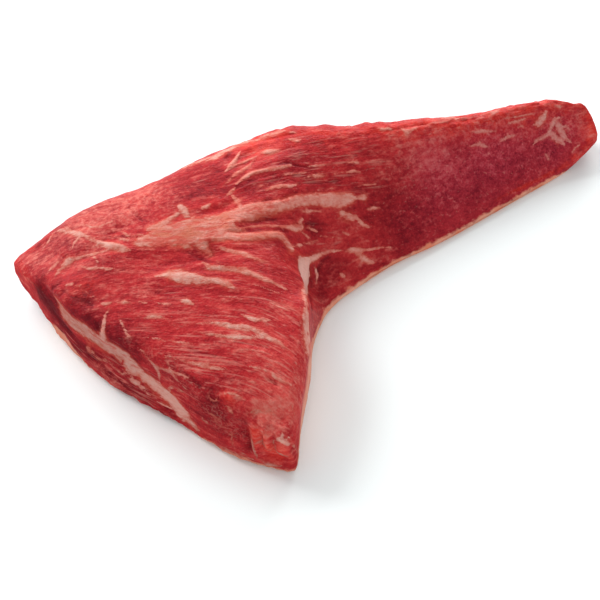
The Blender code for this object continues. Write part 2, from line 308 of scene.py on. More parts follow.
def block_point(a, b, c):
    """Inner share of each axis plus its part of the leans, in shares of length, width and height."""
    leans = np.stack([a[..., 1], b[..., 1], c[..., 1]], axis=-1)
    leans = leans / np.maximum(np.linalg.norm(leans, axis=-1, keepdims=True), 1e-9)
    low, high = by_station(CUT_FACE_ROUNDING, b[..., 0]) / LENGTH, TIP_ROUNDING / LENGTH
    along = low + a[..., 0] * (1 - low - high)
    along = along + np.where(leans[..., 0] < 0, low, high) * leans[..., 0]
    width = np.linalg.norm(outer_edge(along) - inner_edge(along), axis=-1)
    inner, outer = by_station(INNER_ROUNDING, along), by_station(OUTER_ROUNDING, along)
    across = (inner + b[..., 0] * (width - inner - outer)) / width
    across = across + np.where(leans[..., 1] < 0, inner, outer) / width * leans[..., 1]
    height = top_height(along, across)
    under = np.minimum(UNDERSIDE_ROUNDING, UNDERSIDE_SHARE * height)
    over = np.minimum((1 - across) * inner + across * outer, height - under)
    up = under + c[..., 0] * (height - under - over)
    up = up + np.where(leans[..., 2] < 0, under, over) * leans[..., 2]
    return piece_point(along, across, up / height)


RIM = 5
ROWS = [axis_rows(344, RIM), axis_rows(166, RIM), axis_rows(15, RIM)]
COUNTS = [len(rows) for rows in ROWS]
print("rows along, across and up:", COUNTS)

# %% [markdown]
# ## The grid, sewn into one closed skin
#
# The skin is six grids, one for each side of the block. A point's three row
# numbers make one key, and points with the same key are one corner, so the
# grids are sewn exactly, with no search for doubles. The underside lies flat
# on the table, so it takes every eighth row, and its border cells take in
# all the corners of the walls.

# %% Cells of the six sides
FLAT_STEP = 8


def side_keys(fixed, end):
    """The keys over one side, as a grid: the row of the fixed axis is its first or last."""
    free = [axis for axis in range(3) if axis != fixed]
    first, second = np.meshgrid(np.arange(COUNTS[free[0]]), np.arange(COUNTS[free[1]]), indexing="ij")
    row = [None, None, None]
    row[free[0]], row[free[1]] = first, second
    row[fixed] = np.full(first.shape, end % COUNTS[fixed])
    return (row[0] * COUNTS[1] + row[1]) * COUNTS[2] + row[2]


def grid_faces(keys, turned):
    """Four corners round each cell of a grid; turned sides go round the other way."""
    corners = [keys[:-1, :-1], keys[1:, :-1], keys[1:, 1:], keys[:-1, 1:]]
    if turned:
        corners.reverse()
    return np.stack([corner.ravel() for corner in corners], axis=-1)


def coarse_rows(count):
    """The rim rows and every few rows between them."""
    inner = list(range(RIM, count - RIM, FLAT_STEP))
    return list(range(RIM)) + inner + list(range(count - RIM - 1, count))


def border_walk(keys, i0, i1, j0, j1):
    """The corners round one coarse cell, with each fine corner where the cell is on the border."""
    last_i, last_j = keys.shape[0] - 1, keys.shape[1] - 1
    near = keys[i0:i1, j0] if j0 == 0 else keys[i0:i0 + 1, j0]
    right = keys[i1, j0:j1] if i1 == last_i else keys[i1, j0:j0 + 1]
    far = keys[i1:i0:-1, j1] if j1 == last_j else keys[i1:i1 + 1, j1]
    left = keys[i0, j1:j0:-1] if i0 == 0 else keys[i0, j1:j1 + 1]
    return np.concatenate([near, right, far, left])[::-1].tolist()


fine = [grid_faces(side_keys(*side), turned) for side, turned in (
    ((0, 0), True), ((0, -1), False), ((1, 0), False), ((1, -1), True), ((2, -1), False))]
under = side_keys(2, 0)
along_rows, across_rows = coarse_rows(COUNTS[0]), coarse_rows(COUNTS[1])
flat_cells = [border_walk(under, i0, i1, j0, j1)
              for i0, i1 in zip(along_rows[:-1], along_rows[1:])
              for j0, j1 in zip(across_rows[:-1], across_rows[1:])]
quads = np.concatenate(fine)
print("cells of the top and the walls:", len(quads), "cells of the underside:", len(flat_cells))

# %% [markdown]
# Each key that occurs becomes one corner, and the formula of the block gives
# its place. The normal of a corner is worked out the way a smooth shade
# does it, because relief will push the skin along it.

# %% The corners and their normals
keys, where = np.unique(np.concatenate([quads.ravel(), np.concatenate(flat_cells)]), return_inverse=True)
quads = where[:quads.size].reshape(-1, 4)
sizes = [len(cell) for cell in flat_cells]
flat_cells = np.split(where[quads.size:], np.cumsum(sizes)[:-1])
rows_of = (keys // (COUNTS[1] * COUNTS[2]), keys // COUNTS[2] % COUNTS[1], keys % COUNTS[2])
base = block_point(*[rows[numbers] for rows, numbers in zip(ROWS, rows_of)])
share_along = (rows_of[0] - RIM).clip(0, COUNTS[0] - 1 - 2 * RIM) / (COUNTS[0] - 1 - 2 * RIM)
share_across = (rows_of[1] - RIM).clip(0, COUNTS[1] - 1 - 2 * RIM) / (COUNTS[1] - 1 - 2 * RIM)
print("corners", len(base), "size, mm", np.ptp(base, axis=0).round(1))


def skin_normals(points):
    """The mean of the directions of the cells round each corner, each worth its area."""
    a, b, c, d = (points[quads[:, k]] for k in range(4))
    facing = np.cross(c - a, d - b)
    total = np.stack([
        np.bincount(quads.ravel(), np.repeat(facing[:, k], 4), len(points)) for k in range(3)], -1)
    total[np.linalg.norm(total, axis=1) == 0] = (0, 0, -1)
    return total / np.linalg.norm(total, axis=1, keepdims=True)


normals = skin_normals(base)
print("share of the corners that face up:", round(float((normals[:, 2] > 0.5).mean()), 2))

# %% [markdown]
# ## From the picture to the meat
#
# Each streak of fat is read off the picture, as a line of a few points with its width. A ray from the camera
# through such a point finds where it lies on the imported model, so the streak is a line on the meat itself,
# and it stays there from every other side.
#
# A line is written as text, "x y width, x y width, ...": x to the right and
# y down from the picture's upper left corner, and the width square to the
# line, all in picture points.

# %% Rays through the picture
SQUARE_STEP = 1.5
USUAL_SCALE, LARGEST_SCALE = 0.6, 1.2
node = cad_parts["tri_tip"].data
solid = BVHTree.FromPolygons(
    [corner.co for corner in node.vertices], [face.vertices for face in node.polygons])


def on_meat(across_picture, down_picture):
    """The first point of the meat on the ray through a place in the picture, in millimetres, or None."""
    focus = PICTURE * LENS / SENSOR
    half = PICTURE / 2
    way = AHEAD * focus + RIGHT * (across_picture - half) - ABOVE * (down_picture - half)
    hit = solid.ray_cast(Vector(EYE), Vector(way))[0]
    return None if hit is None else np.array(hit) / MM


def read_line(text):
    """The numbers of each point, between commas, as one row of an array."""
    return np.array([[float(number) for number in point.split()] for point in text.split(",")])


def laid_line(text):
    """The line on the meat, as places with a half width.

    A width grows by how far apart two points lie on the meat for each picture
    point between them, measured square to the line.
    """
    points = read_line(text)
    tangents = np.gradient(points[:, :2], axis=0)
    square = np.stack([-tangents[:, 1], tangents[:, 0]], -1)
    square = square / np.linalg.norm(square, axis=1, keepdims=True) * SQUARE_STEP
    laid = []
    for (x, y, width), (sx, sy) in zip(points, square):
        here, one, two = on_meat(x, y), on_meat(x + sx, y + sy), on_meat(x - sx, y - sy)
        if here is None:
            continue
        scale = USUAL_SCALE
        if one is not None and two is not None:
            scale = min(np.linalg.norm(one - two) / (2 * SQUARE_STEP), LARGEST_SCALE)
        laid.append([*here, width * scale / 2])
    return np.array(laid)


def laid_lines(texts):
    """The lines of which two points or more lie on the meat."""
    return [line for line in map(laid_line, texts) if len(line) > 1]


print("the middle of the picture lies on the meat at, mm:", on_meat(300, 300))

# %% [markdown]
# ## The streaks of fat
#
# A tri-tip's fat lies between bundles of muscle: one broad band over the
# crown, thin lenses in the wedge, a ridge at the bend and a seam in the cut
# face. A noise texture could scatter such streaks, but the eye knows this
# piece by where they are, so each one is laid by name. First come the band
# over the crown with its two tongues, the islands round it, and the fine
# streaks that fan out over the shoulder.

# %% Fat of the crown and the shoulder
FAT = {
    "band, left part": [
        ("136 243 5, 142 242 10, 150 240 14, 160 236 18, 172 233 22, 185 231 26, 200 229 28,"
         " 212 227 24, 224 224 16"),
        "196 240 9, 204 247 9, 210 253 6", "214 228 16, 226 227 9, 238 229 5, 248 230 1",
        "150 229 5, 160 226 7, 170 219 5, 178 214 3",
    ],
    "band, upper tongue": [
        ("216 224 14, 228 217 12, 240 214 14, 250 211 16, 262 208 16, 273 207 13, 284 205 12,"
         " 296 201 11, 306 200 12, 318 199 13, 330 199 13, 342 200 16, 350 198 12, 355 198 6"),
        "232 195 2, 237 200 6, 240 206 5", "358 197 4, 364 197 7",
    ],
    "band, lower tongue": [
        ("205 236 11, 222 236 9, 238 236 9, 254 236 8, 268 235 8, 275 234 7, 280 235 6, 284 238 5,"
         " 288 243 5, 291 248 6, 294 252 3"),
        "292 247 4, 300 245 4, 308 243 2, 318 240 1",
    ],
    "islands": [
        # The first line, with its broad end near 298 228, is partly fat and partly a painted glint.
        "228 229 1, 240 228 2, 252 226 2, 264 225 3, 276 226 2, 288 228 4, 296 228 8, 301 227 8",
        "302 219 2, 300 223 3", "343 214 7, 349 217 9, 354 218 6",
        "356 216 3, 360 221 4, 364 225 4, 369 227 2", "368 209 2, 374 208 4, 380 208 1",
        "180 207 6, 184 211 8, 187 216 5", "203 208 3, 209 205 3", "308 227 1, 314 230 3, 318 232 2",
        "302 232 1, 307 236 2, 311 239 1", "298 212 1, 308 211 3, 318 211 2, 324 211 1",
    ],
    "shoulder streaks": [
        "225 172 1, 230 167 4, 233 163 5, 237 156 3, 241 151 1",
        "231 167 2, 241 163 2, 250 160 2, 257 157 1",
        "223 188 1, 229 181 3, 235 176 4, 243 171 4, 250 166 3, 254 161 2",
        # The next short line is a painted highlight, laid as a streak of fat.
        "227 195 2, 231 191 3, 235 188 2",
        "236 185 2, 244 178 3, 252 174 4, 260 171 4, 268 170 3, 279 168 3, 291 165 2",
        "262 153 2, 268 152 5, 276 151 4, 281 150 1", "289 139 2, 296 140 4, 301 139 1",
        "255 192 1, 261 187 4, 268 184 3, 276 182 1",
        "262 193 1, 271 189 4, 281 187 4, 290 187 3, 298 184 1",
        "299 179 1, 310 177 3, 319 176 5, 330 175 2, 344 173 2, 354 171 4, 360 172 2",
        "309 166 1, 320 165 2, 335 165 2, 345 163 2, 358 162 3", "283 175 1, 295 174 2, 310 172 1",
        "318 190 1, 332 188 2, 345 187 1", "350 188 1, 363 185 2, 376 184 1",
        "286 158 1, 300 155 2, 312 154 1",
    ],
    "rim of the shoulder": [
        ("150 184 1, 168 176 2, 188 167 3, 200 162 4, 213 157 4, 226 151 4, 238 146 4, 246 143 4,"
         " 258 141 3, 268 137 3, 280 133 3, 296 132 1"),
    ],
}
print("lines so far:", sum(map(len, FAT.values())))

# %% [markdown]
# The left end has a web of thin lines, which widen to small triangles where
# they meet. The wedge has one thick lens, and streaks that run along its
# fibres towards the bend.

# %% Fat of the left end and the wedge
FAT |= {
    "left end": [
        "54 232 1, 48 240 2, 42 250 1", "84 224 1, 92 228 2, 100 226 2, 112 222 1",
        "58 262 2, 52 268 3, 46 276 1", "92 254 2, 98 262 2, 94 268 1", "112 232 1, 118 238 3, 128 240 2",
        "55 232 1, 62 231 3, 70 232 4, 78 234 5, 86 237 3, 94 238 1", "64 226 1, 70 230 3",
        "80 237 2, 75 242 2, 72 249 1",
        "87 239 2, 94 241 4, 101 243 5, 109 246 7, 117 248 7, 124 250 5, 131 251 2",
        "84 243 1, 92 246 2, 100 247 2",
        "110 249 2, 102 251 3, 93 253 4, 83 256 3, 74 259 5, 67 262 6, 63 267 5, 59 271 4, 55 277 2",
        "66 285 2, 72 284 3", "75 286 2, 80 286 3", "119 230 1, 124 233 3, 129 237 2",
        "132 236 1, 138 235 2, 146 235 1",
        "79 264 1, 84 267 2, 92 269 3, 100 268 2, 108 269 3, 117 268 1", "82 290 1, 92 295 1, 99 302 1",
    ],
    "lens": [
        ("154 276 1, 162 275 4, 171 274 9, 180 275 13, 188 277 12, 197 279 9, 205 280 7, 213 280 6,"
         " 220 281 7, 228 284 7, 234 288 3"),
    ],
    "wedge streaks": [
        ("203 262 2, 210 267 6, 222 268 5, 234 269 5, 245 271 6, 255 275 5, 265 279 4, 275 283 3,"
         " 286 288 2, 294 292 1"),
        "217 261 2, 222 266 3", "221 248 3, 231 251 4, 242 253 5, 250 257 4, 260 261 3, 269 262 1",
        ("183 325 1, 200 323 2, 214 322 3, 227 325 5, 240 327 6, 252 329 6, 262 334 5, 272 339 4,"
         " 280 343 3, 288 350 1"),
        "194 331 1, 209 334 3, 222 336 4, 238 337 4, 255 337 3, 266 338 1",
        "145 318 2, 152 316 4, 160 317 3, 168 319 1", "179 300 2, 186 301 6, 193 304 3",
        "101 303 2, 106 304 4, 111 302 2", "118 302 1, 124 301 4, 131 303 1",
        "156 302 1, 165 303 3, 173 304 1", "139 301 2, 146 302 3",
        "240 313 1, 248 317 4, 256 320 5, 266 320 3, 277 321 1",
        "165 355 2, 172 358 3, 185 362 4, 200 365 5, 213 368 5, 225 370 3, 238 372 2",
        "168 340 1, 180 342 2, 193 343 1", "145 337 1, 155 338 2, 166 341 1",
        "240 348 1, 250 350 2, 263 352 1", "246 366 1, 257 368 3, 269 372 1",
        "272 371 2, 274 377 4, 282 381 4, 291 385 2", "220 394 1, 230 393 3, 238 396 3, 245 401 1",
        "240 378 1, 250 381 2, 263 384 1", "225 296 1, 240 298 2, 256 300 1",
        "255 285 1, 268 289 2, 284 294 1", "262 300 1, 275 304 2, 290 311 1",
        "215 313 1, 228 315 2, 238 317 1", "250 307 1, 262 309 2, 272 313 1",
    ],
}
print("lines so far:", sum(map(len, FAT.values())))

# %% [markdown]
# The seam is where two muscles meet, and the knife has cut across it: a
# broad pale line down the cut face, with thin webs that branch off. The
# corner by the notch is torn, with curls of fat in its folds.

# %% Fat of the near corner and the cut face
FAT |= {
    "corner by the notch": [
        "244 415 2, 252 412 6, 262 411 6, 272 412 6, 281 417 2", "266 402 2, 269 408 4",
        "277 398 1, 276 404 2",
        "247 412 2, 249 419 3, 251 426 3, 252 434 3, 253 443 4, 255 452 3, 258 458 2",
        "276 441 2, 280 439 5, 284 441 6, 289 445 3", "282 433 2, 282 437 4",
        "226 430 2, 231 435 3, 232 441 2, 235 449 1", "270 424 1, 276 429 1",
        "256 424 1, 262 431 2, 268 435 1", "258 440 1, 264 445 2, 270 448 1",
        "272 441 1, 275 449 2, 283 455 3, 290 456 1", "261 459 1, 270 463 3, 281 465 2",
        "289 437 1, 294 446 2, 297 452 1", "215 444 1, 226 450 2, 238 456 2, 250 460 1",
        "208 393 1, 210 400 2, 215 402 2, 219 396 2, 222 391 1",
        "205 409 1, 211 414 2, 217 419 2, 223 419 1",
        "213 421 1, 219 425 2, 225 426 2, 231 422 2, 235 416 1", "226 406 2, 232 413 3, 235 421 2",
        "201 417 2, 208 424 2", "256 440 1, 262 446 2, 270 451 1", "240 452 1, 247 458 2, 256 462 1",
        "292 405 1, 295 415 1",
    ],
    "seam in the cut face": [
        ("44 284 1, 49 290 1, 54 297 2, 60 305 5, 67 314 8, 74 322 9, 85 330 9, 95 338 8, 106 347 8,"
         " 116 352 7, 124 357 7, 132 365 9, 142 374 8, 152 382 8, 161 389 8, 170 396 9, 177 404 9,"
         " 182 411 8, 188 420 6, 197 430 4, 206 436 1"),
        "109 309 2, 105 315 3, 103 325 4, 102 334 5, 103 344 6",
        "117 358 4, 122 365 3, 128 371 2, 134 382 2, 140 388 1", "86 350 2, 94 352 3",
        "97 358 3, 104 361 2", "126 371 1, 134 378 3, 141 386 3, 148 393 1",
        "108 372 1, 120 384 1, 134 396 1", "88 358 1, 98 369 1, 108 378 1",
        "156 408 1, 168 418 1, 182 428 1", "90 352 2, 92 356 1", "172 406 2, 178 414 4, 183 421 2",
        "140 349 1, 145 355 2, 150 361 2, 155 367 3, 159 374 2, 159 381 1",
        "171 374 1, 179 382 2, 188 391 1", "164 356 1, 167 361 2, 169 366 2, 170 371 2",
        "155 366 2, 164 370 2, 171 372 3, 180 374 2, 188 378 2",
        "119 318 1, 123 326 2, 127 335 3, 132 339 2", "86 346 1, 89 349 4, 92 352 1",
        "98 353 1, 114 367 2, 134 383 2, 160 403 2, 184 417 1", "166 390 2, 173 387 3",
        "178 391 2, 183 391 2",
    ],
}
print("lines so far:", sum(map(len, FAT.values())))

# %% [markdown]
# Where the wedge bends into the tail, a ridge of fat stands at the edge of
# the notch. The tail itself is nearly bare: a few dashes along its upper
# edge, and a web near the tip.

# %% Fat of the bend and the tail
FAT |= {
    "bend ridge": [
        ("300 260 5, 305 266 10, 306 274 9, 305 284 7, 304 294 5, 305 306 5, 306 318 5, 307 330 6,"
         " 308 342 6, 308 352 4"),
        "306 262 8, 315 258 7, 322 254 5, 332 251 3, 345 250 1", "315 266 1, 318 274 3, 317 283 1",
    ],
    "hollow and root of the tail": [
        "345 251 1, 352 250 5, 359 250 6, 367 250 3, 378 248 2, 391 247 1",
        "356 253 3, 362 257 6, 369 262 5, 374 263 2", "341 274 3, 344 276 3",
        "320 236 1, 330 237 1, 338 237 1", "343 232 2, 348 235 2", "300 247 2, 315 243 1",
    ],
    "tail streaks": [
        "382 129 3, 391 129 2", "401 128 1, 406 132 5, 412 130 3, 417 127 1",
        "440 122 1, 454 119 3, 466 117 1", "483 111 3, 492 113 4, 501 112 1",
        "471 132 2, 484 131 4, 497 131 1", "471 146 2, 479 144 4, 488 147 2",
        "502 140 3, 509 137 4, 516 135 1", "509 123 2, 518 121 3, 526 118 1", "519 127 2, 523 126 2",
        "546 112 4, 542 119 7, 538 124 7, 534 125 2", "555 105 2, 560 106 4",
        "433 119 1, 445 117 2, 456 115 1", "458 113 1, 470 111 2, 482 110 3, 494 110 2, 504 109 1",
        "506 118 1, 520 116 2, 534 113 1",
    ],
    "web near the tip": [
        "550 131 3, 552 125 4, 556 119 5, 560 117 2",
        "556 121 5, 559 127 7, 562 133 7, 565 138 5, 571 142 2",
        "549 132 4, 554 136 6, 559 140 7, 564 144 3", "549 134 4, 543 138 3, 538 140 3, 534 144 2",
        "560 128 2, 566 126 3, 570 130 1", "572 153 1, 576 147 2, 580 145 2", "546 154 1, 549 159 2",
    ],
}
lines = {name: laid_lines(texts) for name, texts in FAT.items()}
print("streaks laid on the meat:", sum(len(group) for group in lines.values()))

# %% [markdown]
# ## How deep inside a streak each corner is
#
# For each corner of the skin, the widest reach wins: the half width of the
# streak at the nearest point of its line, less the distance to that point.
# It is positive inside the fat and negative outside. The shader later cuts
# it with a noise, so the edge is ragged, crisp in some stretches and faint
# in others, although the grid is not fine enough to hold such an edge.

# %% Reach of the streaks
NO_FAT_NEAR = -5.0


def reach_of(points, laid, far=NO_FAT_NEAR):
    """Half width less distance, largest over all the legs of all the lines, and that half width, in mm."""
    reach = np.full(len(points), far)
    half_width = np.zeros(len(points))
    for line in laid:
        for start, end in zip(line[:-1], line[1:]):
            margin = max(start[3], end[3]) - far
            low = np.minimum(start[:3], end[:3]) - margin
            high = np.maximum(start[:3], end[:3]) + margin
            near = np.flatnonzero(np.all((points > low) & (points < high), axis=1))
            leg = end[:3] - start[:3]
            share = np.clip((points[near] - start[:3]) @ leg / max(leg @ leg, 1e-9), 0, 1)
            gap = np.linalg.norm(points[near] - start[:3] - share[:, None] * leg, axis=1)
            half = start[3] + share * (end[3] - start[3])
            wins = half - gap > reach[near]
            reach[near[wins]] = (half - gap)[wins]
            half_width[near[wins]] = half[wins]
    return reach, half_width


fat_reach, fat_width = reach_of(base, [line for group in lines.values() for line in group])
print("share of the skin inside a streak:", round(float((fat_reach > 0).mean()), 3))

# %% [markdown]
# ## The run of the fibres
#
# Muscle is a bundle of fibres, and its colour and its ridges are long along
# the fibres and short across them. The fibres fan out over the wedge and
# turn into the tail. A few lines along them are read off the picture, as
# "x y, x y, ...", and laid on the meat in even steps.

# %% Lines along the fibres
FIBRE_STEP = 8.0
FIBRES = [
    "60 236, 100 215, 150 193, 200 166, 240 147, 262 141",
    "224 187, 236 176, 252 164, 275 152, 300 144, 340 140, 400 133, 480 120, 560 108",
    "236 185, 252 174, 279 167, 320 165, 358 162, 420 158, 500 142, 560 128",
    "216 224, 250 211, 290 203, 350 198, 420 190, 480 178, 540 160",
    "140 245, 180 240, 230 237, 279 234, 330 234, 400 224, 460 208, 520 188",
    "60 262, 100 255, 150 262, 200 264, 245 271, 286 288, 301 306",
    "154 277, 190 277, 236 288, 270 298, 294 313, 303 334",
    "100 300, 150 305, 200 309, 250 319, 284 333, 301 354", "145 318, 194 330, 240 337, 276 346, 299 367",
    "166 355, 213 368, 250 378, 284 393, 298 412", "200 392, 240 399, 268 411, 292 432",
    "328 292, 345 281, 380 260, 440 229, 520 189, 560 169", "322 262, 359 250, 420 240, 480 208",
]
here, heading = [], []
for text in FIBRES:
    points = read_line(text)
    length = np.concatenate([[0], np.cumsum(np.linalg.norm(np.diff(points, axis=0), axis=1))])
    steps = np.arange(0, length[-1], FIBRE_STEP)
    path = [on_meat(np.interp(s, length, points[:, 0]), np.interp(s, length, points[:, 1])) for s in steps]
    path = np.array([place for place in path if place is not None])[:, :2]
    here.append(path[:-1] / 2 + path[1:] / 2)
    heading.append(np.diff(path, axis=0))
here, heading = np.concatenate(here), np.concatenate(heading)
heading = heading / np.linalg.norm(heading, axis=1, keepdims=True)
print("places with a known run of the fibres:", len(here))

# %% [markdown]
# Every place of the plan takes the mean of these directions, the near ones
# counting most. Its trust says how near the nearest one is.

# %% The run at every place
SAMPLE_STEP = 9.0
PULL_SOFTNESS, PULL_POWER = 40, 1.5
TRUST_REACH, LEAST_TRUST = 25, 0.05
low, high = base[:, :2].min(axis=0), base[:, :2].max(axis=0)
sample = np.stack(np.meshgrid(*[
    np.arange(a, b + SAMPLE_STEP, SAMPLE_STEP) for a, b in zip(low, high)]), -1).reshape(-1, 2)
gaps = np.linalg.norm(sample[:, None] - here[None], axis=2)
pull = 1 / (gaps ** 2 + PULL_SOFTNESS) ** PULL_POWER
run = (pull[..., None] * heading[None]).sum(axis=1)
run = run / np.linalg.norm(run, axis=1, keepdims=True)
trust = np.exp(-(gaps.min(axis=1) / TRUST_REACH) ** 2) + LEAST_TRUST
print("places of the plan that the fit is made at:", len(sample))

# %% [markdown]
# Two smooth functions of the plan are fitted to those directions: one grows
# by a millimetre for each millimetre along the fibres, and one does so
# across them. Each is a sum of bells on a coarse grid and a slope. With the
# depth below the top they are the three coordinates of the grain. The plain
# coordinates would be simpler, but a noise read in them can't turn with the
# fibres.

# %% Fitting the grain
BELL_WIDTH, BELL_GAP = 42.0, 30.0
STIFFNESS = 0.02
centres = np.stack(np.meshgrid(*[
    np.arange(a - BELL_GAP / 2, b + BELL_GAP * 1.5, BELL_GAP) for a, b in zip(low, high)]), -1).reshape(-1, 2)


def bells(points):
    """A bell of each centre at each point, then the two plain coordinates."""
    heights = np.exp(-np.sum((points[:, None] - centres[None]) ** 2, axis=2) / BELL_WIDTH ** 2)
    return np.concatenate([heights, points], axis=1)


def bell_slopes(points):
    """The slope of each of those, along x and then along y."""
    apart = points[:, None] - centres[None]
    heights = np.exp(-np.sum(apart ** 2, axis=2) / BELL_WIDTH ** 2)
    slopes = -2 * apart / BELL_WIDTH ** 2 * heights[..., None]
    plain = np.broadcast_to(np.eye(2), (len(points), 2, 2))
    return np.concatenate([slopes, plain], axis=1)


slopes = bell_slopes(sample) * trust[:, None, None]
system = np.concatenate([slopes[..., 0], slopes[..., 1], STIFFNESS * np.eye(slopes.shape[1])])


def fitted(direction):
    """The function whose slope is nearest to this direction everywhere, by least squares."""
    wanted = direction * trust[:, None]
    answer = np.concatenate([wanted[:, 0], wanted[:, 1], np.zeros(slopes.shape[1])])
    weights = np.linalg.lstsq(system, answer, rcond=None)[0]
    return lambda points: bells(points) @ weights


along_fibres = fitted(run)
across_fibres = fitted(np.stack([-run[:, 1], run[:, 0]], axis=-1))
below_top = top_height(share_along, share_across) - base[:, 2]
grain = np.stack([across_fibres(base[:, :2]), along_fibres(base[:, :2]), below_top], axis=-1)
print("grain, mm across and along:", np.ptp(grain[:, 0]).round(), np.ptp(grain[:, 1]).round())

# %% [markdown]
# ## Coordinates on the cut face
#
# The knife cuts across the fibres there, so the grain of the top means
# nothing on that face. Its own coordinates are the height, the way along the
# foot and the depth behind the face, and a soft mask says where they hold.

# %% The mask and the coordinates of the cut face
WALL_DEPTH = 7
FOOT_LENGTH = 190
wall = np.clip(1.5 - 2.4 * normals[:, 2], 0, 1) * np.clip(2 - share_along * LENGTH / WALL_DEPTH, 0, 1)
wall_grain = np.stack([base[:, 2], share_across * FOOT_LENGTH, share_along * LENGTH], axis=-1)
print("corners on the cut face:", int((wall > 0.5).sum()))

# %% [markdown]
# ## A smooth noise
#
# Relief needs a noise that numpy can work out, the same each time. Random
# numbers sit at the corners of a grid of cubes, and between them the noise
# goes smoothly from one to the next. Dividing a place by a size before it is
# read makes the lumps that large, and a different size for each direction
# makes them long.

# %% The noise, in the piece, along the fibres and on the cut face
TABLE_SIZE = 4096
HASH = np.array([73856093, 19349663, 83492791])
PIECE_SHIFT, GRAIN_SHIFT = 40, 50


def mist(points, seed):
    """Random numbers at whole places, between -1 and 1, joined smoothly in all three directions."""
    table = np.random.default_rng(seed).uniform(-1, 1, TABLE_SIZE)
    cell = np.floor(points).astype(np.int64)
    t = points - cell
    t = t * t * (3 - 2 * t)
    total = 0
    for corner in np.ndindex(2, 2, 2):
        place = (cell + np.array(corner)) * HASH
        value = table[(place[:, 0] ^ place[:, 1] ^ place[:, 2]) & (TABLE_SIZE - 1)]
        weight = np.prod(np.where(np.array(corner) == 1, t, 1 - t), axis=1)
        total = total + value * weight
    return total


def lumps_of(size, seed):
    """The noise in the piece itself, with lumps of this many millimetres."""
    return mist(base / size + PIECE_SHIFT, seed)


def grain_lumps(width, length, seed):
    """The noise in the grain's coordinates, with lumps this wide across and long along the fibres."""
    return mist(grain / np.array([width, length, width]) + GRAIN_SHIFT, seed)


def wall_lumps(height, length, depth, seed):
    """The noise in the cut face's coordinates."""
    return mist(wall_grain / np.array([height, length, depth]) + PIECE_SHIFT, seed)


def soft_step(value, low, high):
    """0 below low, 1 above high, and a smooth rise between them."""
    t = np.clip((value - low) / (high - low), 0, 1)
    return t * t * (3 - 2 * t)


print("noise between", lumps_of(24, 1).min().round(2), "and", lumps_of(24, 1).max().round(2))

# %% [markdown]
# ## The broad relief
#
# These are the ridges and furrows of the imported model: the fat band with its
# tongues, the lens, the ridge at the bend, the furrows between them, the
# fold of the shoulder, the fold at the near corner, the seam and the thin
# layer at the foot of the cut face. Each is a line of places, given as
# shares of the length, the width and the height, with the half width of its
# bell and how far it stands out.

# %% Ridges and furrows
BROAD_RELIEF = {
    "fat band": ([
        (0.15, 0.68, 1), (0.2, 0.62, 1), (0.24, 0.56, 1), (0.29, 0.49, 1), (0.33, 0.47, 1),
        (0.38, 0.44, 1), (0.42, 0.4, 1), (0.47, 0.38, 1), (0.52, 0.36, 1),
    ], 7.0, 1.0),
    "tongue of the band": ([(0.24, 0.5, 1), (0.28, 0.41, 1), (0.32, 0.34, 1), (0.35, 0.29, 1)], 4.0, 0.8),
    "lens": ([(0.12, 0.55, 1), (0.16, 0.45, 1), (0.19, 0.31, 1)], 3.5, 0.8),
    "longest streak of the wedge": ([(0.19, 0.47, 1), (0.23, 0.33, 1), (0.25, 0.2, 1)], 3.5, 0.6),
    "ridge at the bend": ([
        (0.355, 0.2, 1), (0.33, 0.13, 1), (0.305, 0.075, 1), (0.225, 0.02, 1),
    ], 4.0, 1.5),
    "ridge along the hollow": ([(0.355, 0.2, 1), (0.385, 0.18, 1), (0.43, 0.18, 1)], 3.5, 1.2),
    "furrow before the band": ([(0.15, 0.58, 1), (0.19, 0.5, 1), (0.23, 0.45, 1)], 5.0, -1.2),
    "furrow behind the band": ([(0.29, 0.44, 1), (0.36, 0.37, 1)], 3.5, -0.8),
    "fold on the shoulder": ([(0.15, 0.78, 1), (0.105, 0.775, 1), (0.04, 0.8, 1)], 4.5, -1.2),
    "fold at the near corner": ([
        (0.0, 0.16, 0.5), (0.0, 0.13, 0.9), (0.025, 0.09, 1), (0.03, 0.04, 1),
    ], 4.0, -1.6),
    "seam in the cut face": ([
        (0, 0.82, 0.93), (0, 0.72, 0.74), (0, 0.66, 0.69), (0, 0.58, 0.65), (0, 0.45, 0.57),
        (0, 0.31, 0.29), (0, 0.23, 0.1),
    ], 4.0, -1.4),
    "thin layer in the cut face": ([
        (0, 0.7, 0.3), (0, 0.58, 0.28), (0, 0.47, 0.22), (0, 0.38, 0.14),
    ], 6.0, 1.2),
}


def bell_rise(points, line, half_width, height):
    """A bell curve across a line through shares of the length, the width and the height."""
    shares = np.array(line, float)
    places = piece_point(*shares.T)
    laid = np.concatenate([places, np.zeros((len(places), 1))], axis=1)
    gap = -reach_of(points, [laid], -3 * half_width)[0]
    return height * np.exp(-(gap / half_width) ** 2)


broad = sum(bell_rise(base, *ridge) for ridge in BROAD_RELIEF.values())
print("broad relief, mm:", broad.min().round(2), "to", broad.max().round(2))
